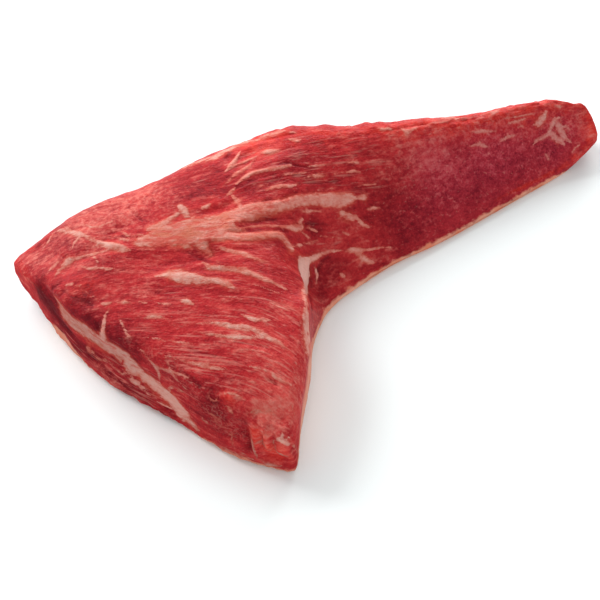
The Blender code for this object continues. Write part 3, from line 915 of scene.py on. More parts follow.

# %% [markdown]
# ## Creases
#
# A crease is the line where one bundle folds under the next: the skin sinks there, and the finish paints
# shade along it. They are laid as the streaks of fat are.

# %% Creases, read off the picture
CREASES = [
    "178 250 1, 188 251 2, 198 256 4, 208 261 3, 216 262 1", "205 243 1, 211 248 2, 213 254 3, 210 258 1",
    "228 231 2, 240 231 3, 255 230 2, 270 230 2, 288 232 1", "240 222 1, 258 220 3, 275 219 2, 296 218 1",
    "262 201 1, 274 201 2, 285 198 3, 296 194 2", "300 224 2, 312 223 3, 326 224 2",
    "62 290 2, 76 298 3, 92 305 3", "94 321 2, 98 328 3, 100 335 2",
    "40 292 1, 48 306 2, 58 320 3, 70 334 3, 86 350 2", "86 352 2, 104 368 3, 124 386 2, 146 402 2",
    "110 345 2, 124 355 3, 136 362 2", "62 334 2, 74 346 2, 92 362 1", "60 283 2, 52 289 3",
    "120 236 2, 132 238 3, 142 238 2", "270 380 1, 275 383 3, 279 386 1",
    "262 391 1, 269 394 3, 274 398 2", "246 416 1, 247 428 2, 248 440 2, 249 452 1",
    "262 418 2, 272 420 3, 282 424 2", "271 438 1, 272 447 2", "291 446 1, 296 456 2",
    "262 440 1, 264 447 1", "310 270 3, 312 284 4, 311 298 4, 311 314 3",
    "330 256 3, 322 262 4, 319 272 3", "285 163 1, 300 166 1, 318 168 1",
    "304 183 1, 322 183 1, 342 180 1", "190 350 2, 204 354 2, 220 358 1",
    "155 292 1, 172 292 2, 190 290 1", "222 302 1, 240 304 2, 262 305 1",
    "235 343 1, 252 344 2, 268 347 1", "180 372 2, 192 378 4, 200 386 4",
    "340 208 2, 348 209 3, 356 208 2", "226 157 2, 232 152 2", "128 207 1, 136 214 3, 142 220 2",
]
crease_reach = reach_of(base, laid_lines(CREASES))[0]
print("share of the skin in a crease:", round(float((crease_reach > 0).mean()), 3))

# %% [markdown]
# ## Small folds
#
# A few folds and tears are too sharp for the noise: the streaked shoulder,
# the rim of the band, and the torn flakes at the near corner. Each group of
# lines has one height in millimetres, and a group below zero sinks in.

# %% Small folds and tears
FOLDS = [
    (0.35, [
        "226 172 2, 234 160 3, 246 150 3, 262 142 3", "229 181 2, 243 171 3, 254 161 3",
        "236 185 2, 252 174 3, 268 169 3, 290 164 3", "240 190 3, 256 182 3, 276 177 2",
    ]),
    (0.9, [
        "222 397 6, 233 398 6", "222 440 5, 240 448 5, 256 456 5", "61 250 6, 70 258 5",
        "100 243 5, 118 247 6, 131 250 4", "215 203 8, 224 200 6", "262 414 5, 280 414 5",
    ]),
    (1.9, [
        "253 420 6, 255 434 6, 256 450 6", "264 430 6, 268 446 7", "278 434 6, 283 439 7",
        "281 449 8, 287 452 7", "262 461 5, 278 464 5",
    ]),
    (-1.5, [
        "246 418 5, 247 436 6, 249 452 5", "261 434 4, 262 448 4", "273 436 4, 274 450 4",
        "266 456 4, 284 459 4",
    ]),
    (-0.7, [
        "290 440 4, 294 455 5", "268 380 3, 278 384 3",
    ]),
    (-0.5, [
        "214 402 5, 226 408 5, 238 410 4", "110 238 3, 126 242 3, 140 244 3",
        "205 212 5, 222 208 5, 236 200 4",
    ]),
]
folds = 0
for height, texts in FOLDS:
    reach, half = reach_of(base, laid_lines(texts))
    folds = folds + height * np.exp(-((half - reach) / np.maximum(half, 0.5)) ** 2) * (half > 0)
print("folds, mm:", folds.min().round(2), "to", folds.max().round(2))

# %% [markdown]
# ## Where the skin is folded and where it is mottled
#
# Bundles of fibres stand out strongly over the crown and at the corners, and
# hardly at all on the wedge. On the tail and under the membrane the fibres
# don't show, and the noise there is loose instead of long. Both are set by
# soft spots: x and y in the picture, a radius in picture points, and an
# amount.

# %% Spots of folded and of mottled skin
SPOT_WIDTH = 0.55
FOLDED = {
    "left end": [(100, 250, 34, 0.7), (60, 245, 26, 0.5)],
    "cut face": [(60, 305, 24, 0.9), (90, 340, 26, 0.6), (140, 375, 26, 0.6), (180, 400, 24, 0.6)],
    "near corner": [(265, 435, 26, 1.0), (230, 420, 24, 0.8)],
    "wedge": [(320, 265, 26, 0.8)],
    "crown": [(300, 225, 34, 0.9), (240, 240, 30, 0.7), (200, 255, 26, 0.6)],
    "shoulder": [
        (270, 165, 40, 0.5), (170, 210, 30, 0.5), (240, 160, 26, 0.7), (240, 147, 18, 0.8),
        (282, 136, 22, 0.8), (205, 160, 18, 0.6), (340, 132, 24, 0.6),
    ],
    "tail": [(345, 255, 22, 0.5), (400, 125, 30, 0.6), (480, 115, 34, 0.5)],
    "tip of the tail": [(560, 130, 26, 0.8)],
}
MOTTLED = {
    "left end": [(60, 255, 22, 0.4)],
    "near corner": [(225, 418, 22, 0.6), (270, 440, 20, 0.7)],
    "crown": [(110, 215, 30, 0.4)],
    "shoulder": [(150, 200, 30, 0.5)],
    "tail": [
        (440, 200, 40, 0.45), (480, 175, 44, 0.55), (400, 225, 30, 0.4), (490, 145, 30, 0.45),
        (430, 160, 34, 0.35),
    ],
    "tip of the tail": [(525, 158, 40, 0.6), (560, 150, 26, 0.6), (560, 125, 20, 0.6)],
}


def spots(points, places):
    """The sum of bells round places of the picture, each as wide on the meat as its radius there."""
    total = np.zeros(len(points))
    for area in places.values():
        for x, y, radius, amount in area:
            centre = on_meat(x, y)
            if centre is not None:
                gap = np.sum((points - centre) ** 2, axis=1) / (radius * SPOT_WIDTH) ** 2
                total = total + amount * np.exp(-gap)
    return total


folded = 0.22 + 0.85 * np.clip(spots(base, FOLDED), 0, 1.2)
mottled = np.clip(spots(base, MOTTLED), 0, 1)
print("mean of folded and mottled:", folded.mean().round(2), mottled.mean().round(2))

# %% [markdown]
# ## The bundles of fibres
#
# A ridge runs wherever a long noise is far from zero, and a valley where it
# crosses zero: that gives bundles with narrow furrows between them, where
# the noise itself would give round hills. Broad bundles carry fine ones.

# %% Bundles as relief
BUNDLE_RISE, CRIMP_RISE, BUNDLE_SINK = 1.05, 0.25, 0.42


def fibre_lumps(width, length, loose, on_wall, seed):
    """Noise along the fibres, a loose one where mottled, and one along the foot on the cut face."""
    top = grain_lumps(width, length, seed) * (1 - mottled) + lumps_of(loose, seed + 10) * mottled
    return top * (1 - wall) + wall_lumps(*on_wall, seed + 20) * wall


fold = fibre_lumps(4.6, 26, 4.0, (4.5, 40, 9), 3)
crimp = fibre_lumps(2.3, 9, 2.1, (2.5, 20, 6), 4)
bundles = folded * (BUNDLE_RISE * np.abs(fold) + CRIMP_RISE * np.abs(crimp) - BUNDLE_SINK)
print("bundles, mm:", bundles.min().round(2), "to", bundles.max().round(2))

# %% [markdown]
# ## All the relief together
#
# A knife leaves fat standing a little proud, creases sink in, the foot of
# the cut face is torn to shreds and the long outer edge is cragged. All of
# it moves the skin along its normals, so it holds from every side, and it
# fades out towards the table, where the piece lies flat.

# %% Moving the skin
EASE_IN = 0.35
FOOT_HEIGHT = 5.0
uneven = 0.55 * lumps_of(24, 1) + 0.30 * lumps_of(9, 2)
proud = soft_step(fat_reach, -0.6, 1.2)
creased = soft_step(crease_reach, -0.9, 0.8)
rise = broad + uneven + bundles * (1 - 0.55 * proud) + (0.15 + 0.25 * folded) * proud - 0.55 * creased + folds

shreds = lumps_of(3.2, 31) + 0.6 * lumps_of(1.7, 32)
at_foot = np.clip(1 - base[:, 2] / 12, 0, 1) * np.clip(2 - share_along * LENGTH / 5, 0, 1)
crags = 1.3 * lumps_of(7, 35) + 0.8 * lumps_of(3, 36)
crag_size = 0.25 + 0.45 * soft_step(share_along, 0.3, 0.5)
at_outer_edge = soft_step(share_across, 0.93, 1.0)
rise = rise + 0.8 * shreds * at_foot + crag_size * crags * at_outer_edge

above_table = np.clip(base[:, 2] / FOOT_HEIGHT, 0, 1)
sideways = 0.4 + 0.6 * above_table
moved = normals * (rise - EASE_IN)[:, None]
skin = base + moved * np.stack([sideways, sideways, above_table], axis=-1)
print("relief, mm:", rise.min().round(2), "to", rise.max().round(2))

# %% [markdown]
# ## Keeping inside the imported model's box
#
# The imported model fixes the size, so the skin is eased back to just inside
# its box wherever a ridge comes near one of the box's faces. Cutting it off
# there would leave flat spots.

# %% Keeping inside the box
SOFTNESS = 0.35
LYING = 0.01
box_low, box_high = (np.array(corner) / MM for corner in CAD_BOX)


def eased(gap):
    """A gap that stays above zero: nearly itself when large, and small but positive when it would close."""
    return (gap + np.sqrt(gap ** 2 + SOFTNESS ** 2)) / 2


for axis in range(3):
    if axis < 2:
        skin[:, axis] = box_low[axis] + eased(skin[:, axis] - box_low[axis])
    skin[:, axis] = box_high[axis] - eased(box_high[axis] - skin[:, axis])
skin[base[:, 2] < LYING, 2] = 0
skin[:, 2] = np.maximum(skin[:, 2], 0)
print("skin, mm:", np.ptp(skin, axis=0).round(2))

# %% [markdown]
# ## Where the meat is dark and where it is light
#
# Lean meat is not one red, and its tone here also holds painted shade and painted light. It is maroon in the
# hollows, where the dark is painted shade, and on the slope of the tail and in the lower part of the cut
# face, where it is partly its own colour and partly painted shade. It is lighter over the shoulder and along
# the upper edges, partly painted light where those rims catch the light.
# Spots on one scale of tone say by how much. They could be painted by hand,
# but spots keep the file short and can be moved.

# %% Spots of tone
TONE = {
    "left end": [
        (110, 262, 30, -0.1), (86, 296, 9, -0.25), (60, 286, 8, -0.2), (72, 308, 8, -0.3),
        (70, 278, 12, 0.12), (80, 298, 16, -0.26), (60, 235, 30, -0.12), (40, 240, 18, -0.08),
        (72, 246, 34, -0.12), (30, 268, 12, -0.1), (60, 250, 14, -0.06), (90, 232, 24, 0.08),
        (60, 270, 16, 0.06),
    ],
    "cut face": [
        (40, 296, 8, -0.4), (52, 308, 8, -0.4), (68, 330, 8, -0.3), (99, 326, 6, -0.3),
        (82, 318, 10, -0.25), (110, 342, 10, -0.2), (128, 356, 10, -0.2), (90, 352, 10, -0.2),
        (44, 302, 16, -0.5), (58, 325, 14, -0.46), (78, 348, 12, -0.36), (38, 288, 12, -0.3),
        (92, 325, 13, -0.46), (118, 338, 18, -0.3), (140, 358, 16, -0.24), (105, 370, 18, -0.16),
        (130, 390, 18, -0.26), (165, 412, 18, -0.22), (150, 385, 14, -0.16), (190, 432, 14, -0.2),
        (70, 345, 14, -0.12), (120, 345, 14, -0.1), (175, 378, 14, -0.22), (60, 310, 20, -0.3),
        (100, 350, 26, -0.16), (140, 385, 26, -0.12), (50, 300, 16, -0.16), (90, 356, 18, -0.1),
    ],
    "near corner": [
        (244, 424, 7, -0.35), (245, 436, 7, -0.5), (247, 448, 7, -0.4), (259, 428, 7, -0.15),
        (294, 455, 7, 0.15), (288, 460, 7, -0.12), (273, 444, 4, -0.5), (268, 446, 6, 0.35),
        (283, 449, 6, 0.4), (228, 397, 8, 0.4), (212, 404, 8, -0.2), (264, 413, 8, 0.3),
        (274, 401, 6, 0.2), (287, 432, 7, -0.25), (273, 382, 5, -0.15), (268, 422, 6, -0.25),
        (265, 392, 20, 0.1), (205, 395, 20, -0.24), (220, 415, 20, -0.32), (205, 418, 14, -0.22),
        (228, 434, 12, -0.12), (265, 440, 24, 0.24), (285, 400, 26, 0.22), (250, 455, 14, 0.12),
        (285, 400, 22, 0.1), (280, 425, 16, 0.1),
    ],
    "wedge": [
        (130, 320, 24, -0.08), (250, 330, 30, 0.05), (280, 360, 24, 0.08), (270, 300, 30, -0.04),
        (200, 355, 30, -0.04), (325, 272, 16, -0.34), (320, 295, 14, -0.2), (190, 278, 28, -0.16),
        (150, 300, 30, -0.06), (288, 350, 26, 0.08), (240, 320, 50, 0.04), (150, 300, 40, 0.03),
        (300, 300, 14, 0.06),
    ],
    "crown": [
        (320, 228, 24, 0.14), (200, 253, 12, -0.22), (250, 230, 18, -0.14), (270, 221, 16, -0.12),
        (312, 226, 12, -0.4), (322, 230, 16, -0.24),
    ],
    "shoulder": [
        (305, 170, 32, -0.18), (320, 190, 20, -0.08), (230, 205, 20, 0.1), (205, 190, 26, -0.12),
        (110, 212, 40, -0.2), (165, 190, 26, -0.12), (300, 140, 30, -0.1), (250, 190, 30, -0.06),
        (300, 166, 20, -0.06), (330, 182, 24, 0.06), (250, 189, 14, -0.2), (275, 176, 14, -0.12),
        (195, 185, 30, -0.12), (215, 180, 18, -0.1), (110, 212, 36, 0.1), (140, 196, 26, 0.1),
        (150, 190, 20, 0.06), (240, 150, 22, 0.16), (262, 145, 20, 0.16), (275, 158, 18, 0.08),
        (300, 138, 22, 0.1), (230, 168, 16, -0.16),
    ],
    "tail": [
        (470, 150, 30, 0.05), (430, 150, 30, 0.05), (370, 245, 30, 0.2), (345, 262, 26, 0.16),
        (440, 210, 40, 0.14), (520, 165, 34, 0.1), (480, 190, 34, 0.08), (345, 265, 22, -0.24),
        (372, 262, 18, -0.16), (395, 215, 40, -0.26), (400, 238, 28, -0.22), (440, 205, 34, -0.28),
        (480, 192, 30, -0.3), (520, 170, 26, -0.26), (460, 150, 16, -0.16), (500, 150, 22, -0.08),
        (370, 195, 18, -0.16), (366, 150, 14, -0.12), (430, 124, 26, 0.1), (480, 118, 26, 0.12),
        (385, 125, 24, 0.06), (420, 158, 28, 0.08),
    ],
    "tip of the tail": [
        (592, 130, 16, 0.16), (548, 155, 20, -0.22), (562, 104, 14, 0.1), (530, 108, 26, 0.12),
        (590, 130, 12, 0.1), (575, 160, 10, 0.06), (530, 190, 14, 0.06),
    ],
}
# Sides turned away from the camera get painted shade: their tone is lowered by a fifth of the scale, with a
# slow drift through it.
turned_away = soft_step(normals @ AHEAD, -0.15, 0.35)
drift = lumps_of(17, 41)
tone = 0.5 + 0.62 * spots(base, TONE) + turned_away * (0.14 * drift - 0.20)
print("tone", tone.min().round(2), "to", tone.max().round(2))

# %% [markdown]
# A thin pale membrane covers the muscle in places: over the shoulder, at the left end, and in patches on the
# tail and on the cut face. Over the shoulder its pale patches are also a painted sheen, standing for soft
# highlights. What the picture doesn't show is covered in patches too.

# %% Spots of membrane
MEMBRANE_AND_SHEEN = {
    "left end": [
        (60, 245, 20, 0.15), (30, 262, 14, 0.2), (75, 228, 24, 0.55), (85, 246, 20, 0.35),
        (50, 262, 18, 0.35), (30, 262, 14, 0.25), (95, 262, 18, 0.2),
    ],
    "cut face": [(110, 378, 14, 0.9), (94, 364, 10, 0.5), (128, 390, 12, 0.4), (150, 408, 12, 0.3)],
    "near corner": [
        (294, 455, 8, 0.6), (266, 432, 14, 0.3), (270, 398, 24, 0.2), (264, 413, 9, 0.9),
        (268, 428, 10, 0.35), (284, 426, 9, 0.3), (275, 415, 16, 0.4), (295, 400, 12, 0.35),
        (270, 440, 12, 0.2),
    ],
    "wedge": [
        (130, 340, 26, -0.2), (130, 282, 24, 0.2), (135, 320, 20, 0.12), (250, 345, 34, 0.1),
        (280, 370, 20, 0.15), (300, 350, 10, 0.35), (230, 315, 40, 0.12),
    ],
    "crown": [
        (285, 232, 26, -0.5), (312, 228, 16, -0.4), (105, 218, 30, 0.2), (180, 215, 16, 0.3),
        (150, 258, 22, 0.18),
    ],
    "shoulder": [
        (305, 170, 38, -0.5), (255, 188, 22, -0.3), (110, 212, 32, 0.85), (142, 196, 24, 0.75),
        (175, 180, 20, 0.3), (215, 158, 18, 0.15), (245, 146, 16, 0.1), (240, 205, 12, 0.2),
    ],
    "tail": [
        (450, 114, 16, 0.3), (500, 109, 16, 0.3), (440, 152, 38, 0.35), (490, 142, 34, 0.3),
        (400, 165, 30, 0.2), (350, 150, 20, 0.1), (420, 155, 30, 0.18),
    ],
    "tip of the tail": [
        (550, 103, 14, 0.4), (545, 170, 20, 0.1), (585, 140, 12, 0.2), (530, 140, 20, 0.2),
        (578, 128, 16, 0.3),
    ],
}
membrane_and_sheen = np.clip(spots(base, MEMBRANE_AND_SHEEN) + turned_away * (0.30 + 0.55 * drift), -0.6, 1)
print("mean of the membrane:", membrane_and_sheen.mean().round(2))

# %% [markdown]
# Meat that the air has reached is scarlet: along the upper edge, round the tip, and on the edges of the near
# corner. Thin lips of it follow the rim. Along the upper edge, round the tip and on the rim of the shoulder
# the bright scarlet is also painted light, where those rims catch the light.

# %% Scarlet spots and lips
SCARLET = {
    "left end": [(70, 296, 14, 0.5), (90, 290, 14, 0.5), (120, 240, 20, 0.4), (85, 285, 16, 0.5)],
    "cut face": [(105, 330, 10, 0.3), (60, 345, 10, 0.4), (100, 370, 12, 0.4)],
    "near corner": [
        (258, 436, 9, 1.2), (228, 397, 8, 0.8), (262, 426, 8, 0.4), (270, 455, 8, 0.6),
        (282, 449, 8, 0.6), (268, 447, 7, 0.5), (258, 438, 12, 0.9), (275, 450, 12, 0.8),
        (288, 462, 10, 0.8), (222, 398, 16, 0.5),
    ],
    "wedge": [(165, 365, 12, 0.4), (140, 330, 16, 0.3), (285, 262, 16, 0.5)],
    "crown": [(160, 236, 14, 0.5), (300, 256, 16, 0.6), (230, 250, 18, 0.4)],
    "shoulder": [
        (250, 152, 16, 0.8), (280, 138, 22, 0.7), (320, 135, 26, 0.4), (215, 202, 18, 0.6),
        (260, 212, 16, 0.4), (340, 133, 20, 0.4), (125, 206, 26, 0.5), (150, 196, 22, 0.4),
    ],
    "tail": [
        (380, 125, 26, 0.6), (430, 122, 26, 0.7), (480, 117, 26, 0.7), (520, 192, 14, 0.35),
        (400, 127, 18, 0.6), (455, 120, 18, 0.6), (505, 112, 18, 0.6),
    ],
    "tip of the tail": [
        (530, 108, 26, 0.7), (570, 104, 16, 0.7), (592, 122, 12, 0.8), (590, 145, 12, 0.8),
        (575, 160, 12, 0.7), (548, 176, 12, 0.3), (550, 103, 14, 0.6),
    ],
}
LIPS_AND_HIGHLIGHTS = [
    ("240 150 6, 262 138 6, 285 133 6, 320 132 5, 360 131 6, 398 125 8, 430 122 9, 470 118 9,"
     " 500 112 8, 520 109 6, 545 102 5"),
    "560 101 4, 580 104 5, 589 114 8, 594 124 9, 595 133 9, 589 143 7",
    "496 200 3, 515 191 3, 530 184 4, 545 177 4, 560 169 4, 575 160 5, 585 150 5",
    "18 266 9, 24 276 8, 32 284 6, 42 290 4", "20 258 7, 36 246 6, 52 234 4",
]
lip_and_highlight = soft_step(reach_of(base, laid_lines(LIPS_AND_HIGHLIGHTS))[0], -0.8, 0.8)
scarlet = np.clip(spots(base, SCARLET) + 0.8 * lip_and_highlight, 0, 1.2)
print("mean of the scarlet:", scarlet.mean().round(2))

# %% [markdown]
# Marbling is fat too fine to lay by hand. It comes as small flecks, as long
# thin lines along the fibres, and as a web, and each has its own places.

# %% Spots of marbling
FLECKS = {
    "left end": [(120, 262, 36, 0.4)],
    "cut face": [(120, 378, 26, 0.5)],
    "near corner": [(220, 415, 26, 0.8), (240, 440, 16, 0.6)],
    "wedge": [(235, 330, 60, 0.5), (285, 305, 30, 0.5), (170, 310, 40, 0.4), (180, 372, 20, 0.6)],
    "crown": [(330, 240, 30, 0.4)],
    "shoulder": [(270, 185, 30, 0.6), (330, 165, 36, 0.5)],
    "tail": [(420, 160, 40, 0.3), (460, 170, 44, 0.3), (400, 205, 44, 0.4), (500, 165, 36, 0.2)],
    "tip of the tail": [(530, 140, 30, 0.2)],
}
LINES = {
    "cut face": [(120, 380, 24, 0.8), (150, 398, 20, 0.8), (60, 345, 14, 0.7), (85, 355, 14, 0.7)],
    "near corner": [(262, 385, 24, 0.5), (230, 390, 30, 0.3)],
    "wedge": [
        (240, 362, 26, 0.4), (285, 360, 20, 0.5), (230, 335, 60, 0.6), (285, 320, 30, 0.6),
        (170, 310, 40, 0.4), (185, 365, 24, 0.6), (255, 270, 40, 0.5),
    ],
    "crown": [(330, 240, 24, 0.3), (290, 225, 22, 0.2)],
    "shoulder": [
        (320, 172, 44, 0.2), (285, 185, 40, 0.5), (330, 165, 40, 0.35), (250, 165, 24, 0.6),
        (300, 145, 30, 0.3),
    ],
    "tail": [
        (430, 118, 22, 0.5), (480, 112, 22, 0.5), (350, 165, 34, 0.15), (400, 125, 40, 0.5),
        (480, 120, 40, 0.6), (380, 160, 30, 0.25), (440, 160, 40, 0.2),
    ],
    "tip of the tail": [(525, 106, 18, 0.6), (562, 103, 12, 0.7)],
}
WEB = {
    "left end": [(110, 262, 16, 0.4)],
    "cut face": [(175, 375, 14, 0.6)],
    "near corner": [(205, 402, 18, 0.45), (222, 418, 18, 0.55), (236, 436, 16, 0.5)],
    "wedge": [(150, 352, 12, 0.5), (130, 340, 10, 0.4)],
    "tip of the tail": [(560, 130, 16, 0.9), (575, 120, 14, 0.4)],
}
flecks = np.clip(0.15 + spots(base, FLECKS), 0, 1)
fine_lines = np.clip(0.2 + spots(base, LINES), 0, 1.2)
web = np.clip(spots(base, WEB), 0, 1)
print("means of flecks, lines and web:", [field.mean().round(2) for field in (flecks, fine_lines, web)])

# %% [markdown]
# The fat is not one colour either: nearly white on the ridge at the bend and at the corner, orange and bloody
# over the crown. On the ridge at the bend the white is partly painted light, because that wall stands in
# shade.

# %% Spots of pale and of red fat
FAT_TONE = {
    "left end": [(109, 303, 8, -0.3), (120, 302, 8, -0.3), (103, 322, 14, 0.4), (110, 246, 24, 0.1)],
    "cut face": [
        (89, 349, 8, -0.7), (104, 361, 6, -0.4), (60, 305, 20, -0.35), (90, 338, 22, -0.05),
        (120, 358, 24, 0.1), (150, 386, 24, 0.4), (180, 410, 22, 0.5),
    ],
    "near corner": [(283, 438, 10, 0.7), (215, 408, 22, -0.6), (226, 432, 16, -0.5)],
    "wedge": [
        # The first three spots, on the ridge at the bend, are partly painted light.
        (304, 270, 18, 0.7), (304, 280, 26, 0.6), (306, 320, 20, 0.4), (200, 276, 26, 0.1),
        (250, 332, 26, 0.3), (226, 283, 10, -0.3),
    ],
    "crown": [
        (165, 232, 30, -0.38), (200, 232, 30, -0.36), (140, 238, 24, -0.2), (270, 235, 26, -0.5),
        (240, 252, 24, -0.2),
    ],
    "shoulder": [(262, 208, 26, -0.45), (330, 200, 24, -0.05), (180, 208, 12, 0.5)],
    "tail": [(345, 215, 14, 0.2)],
    "tip of the tail": [(558, 128, 20, 0.2), (544, 117, 12, 0.3)],
}
fat_tone = spots(base, FAT_TONE)
print("fat tone", fat_tone.min().round(2), "to", fat_tone.max().round(2))

# %% [markdown]
# ## The fat cap
#
# The piece lies on its fat side. The fat covers the whole underside and
# shows as a thin pale lip round the foot of the walls, and on the wall by
# the notch it reaches nearly to the top. How thick it is at each corner of
# the foot follows from which edge is nearest.

# %% How far the cap reaches up the walls
CAP_ON_INNER = [
    (0.0, 4.0), (0.04, 14.0), (0.08, 27.0), (0.12, 33.0), (0.17, 34.0), (0.20, 27.0), (0.23, 17.0),
    (0.26, 11.0), (0.285, 8.0), (0.305, 6.5), (0.33, 5.0), (0.38, 4.0), (0.5, 3.6), (0.8, 3.1),
    (0.93, 3.2), (1.0, 1.6),
]
CAP_ON_CUT = [
    (0.0, 3.0), (0.06, 4.5), (0.2, 4.0), (0.3, 2.0), (0.45, 1.5), (0.58, 1.6), (0.66, 5.0), (0.72, 10.0),
    (0.78, 9.0), (0.84, 4.0), (0.9, 1.5), (1.0, 0.5),
]
CAP_ON_OUTER = [(0.0, 3.0), (0.15, 6.0), (0.5, 9.0), (0.8, 6.0), (1.0, 3.0)]
CAP_ELSEWHERE, CAP_UNDERNEATH = 1.5, 3.0
TALL_FROM, TALL_OVER = 8, 12
LOWEST_REACH, HIGHEST_REACH = -8, 14

cap_height = np.full(len(base), CAP_ELSEWHERE)
for nearest, heights, share in (
        (rows_of[1] >= COUNTS[1] - 1 - RIM, CAP_ON_OUTER, share_along),
        (rows_of[0] <= RIM, CAP_ON_CUT, share_across),
        (rows_of[1] <= RIM, CAP_ON_INNER, share_along)):
    cap_height = np.where(nearest, by_station(heights, share), cap_height)
tall = np.clip((cap_height - TALL_FROM) / TALL_OVER, 0, 1)
cap_height = cap_height + tall * (7.0 * lumps_of(11, 33) + 4.0 * lumps_of(4, 34))
cap_reach = np.clip(cap_height - base[:, 2], LOWEST_REACH, HIGHEST_REACH)
cap_reach = np.where(base[:, 2] < 0.3, CAP_UNDERNEATH, cap_reach)
print("corners on the cap:", int((cap_reach > 0).sum()))

# %% [markdown]
# ## The skin as a mesh
#
# All the cells go into one mesh at once. What was worked out for each corner
# is kept on the mesh under a name, so that the finish can read it. It could
# be drawn as a picture and wrapped round the piece, but stored numbers need
# no wrapping, and they hold on every side.

# %% The mesh and what the finish reads
mesh = bpy.data.meshes.new("beef")
faces = np.concatenate([quads.ravel(), np.concatenate(flat_cells)])
starts = np.concatenate([[0], np.cumsum([4] * len(quads) + sizes)])
mesh.vertices.add(len(skin))
mesh.vertices.foreach_set("co", (skin * MM).astype(np.float32).ravel())
mesh.loops.add(len(faces))
mesh.loops.foreach_set("vertex_index", faces.astype(np.int32))
mesh.polygons.add(len(starts) - 1)
mesh.polygons.foreach_set("loop_start", starts[:-1].astype(np.int32))
mesh.update(calc_edges=True)
mesh.validate()


def store(name, values):
    """Keeps a number, or three, at each corner of the mesh under a name that a material can read."""
    kind, field = ("FLOAT", "value") if values.ndim == 1 else ("FLOAT_VECTOR", "vector")
    layer = mesh.attributes.new(name, kind, "POINT")
    layer.data.foreach_set(field, values.astype(np.float32).ravel())


KEPT = {
    "fat": fat_reach, "fat_width": fat_width, "fat_tone": fat_tone,
    "fold": fold, "crimp": crimp, "crease": crease_reach, "mottle": mottled,
    "wall": wall, "wall_grain": wall_grain, "grain": grain,
    "tone": tone, "membrane_and_sheen": membrane_and_sheen, "scarlet": scarlet,
    "flecks": flecks, "lines": fine_lines, "web": web,
    "cap": cap_reach, "cap_tall": tall,
}
for name, values in KEPT.items():
    store(name, values)
mesh.shade_smooth()
beef = bpy.data.objects.new("beef", mesh)
bpy.context.scene.collection.objects.link(beef)
print("triangles", sum(len(face.vertices) - 2 for face in mesh.polygons))

# %% [markdown]
# ## Writing a finish as formulas
#
# A material is a graph of nodes. Placing them one by one hides the formula,
# so a small class wraps a socket that carries a number: adding, taking away
# or multiplying two of them adds the Math node that does it.


# %% Numbers that change over the surface
class Number:
    """A socket that carries a number, with +, - and * written as Math nodes."""

    def __init__(self, finish, socket):
        self.finish = finish
        self.socket = socket

    def _with(self, operation, first, second=0.0):
        """The Math node that does this operation on two numbers or sockets."""
        sockets = [value.socket if isinstance(value, Number) else value for value in (first, second)]
        node = self.finish.node("ShaderNodeMath", {"operation": operation}, {0: sockets[0], 1: sockets[1]})
        return Number(self.finish, node.outputs[0])

    def __add__(self, other):
        return self._with("ADD", self, other)

    def __radd__(self, other):
        return self._with("ADD", other, self)

    def __sub__(self, other):
        return self._with("SUBTRACT", self, other)

    def __rsub__(self, other):
        return self._with("SUBTRACT", other, self)

    def __mul__(self, other):
        return self._with("MULTIPLY", self, other)

    def at_most(self, other):
        """The smaller of the two."""
        return self._with("MINIMUM", self, other)

    def at_least(self, other):
        """The larger of the two."""
        return self._with("MAXIMUM", self, other)

    def size(self):
        """The number without its sign."""
        return self._with("ABSOLUTE", self)

    def step(self, low, high):
        """0 below low, 1 above high, with a smooth rise between."""
        node = self.finish.node("ShaderNodeMapRange", {"interpolation_type": "SMOOTHSTEP"},
                                {0: self.socket, 1: low, 2: high, 3: 0.0, 4: 1.0})
        return Number(self.finish, node.outputs[0])


# %% [markdown]
# Everything else that a finish needs goes through one method that takes a
# node's type, its settings and the values or links of its sockets. Colours
# go through Mix and Vector Math, because a Math node would turn them grey.


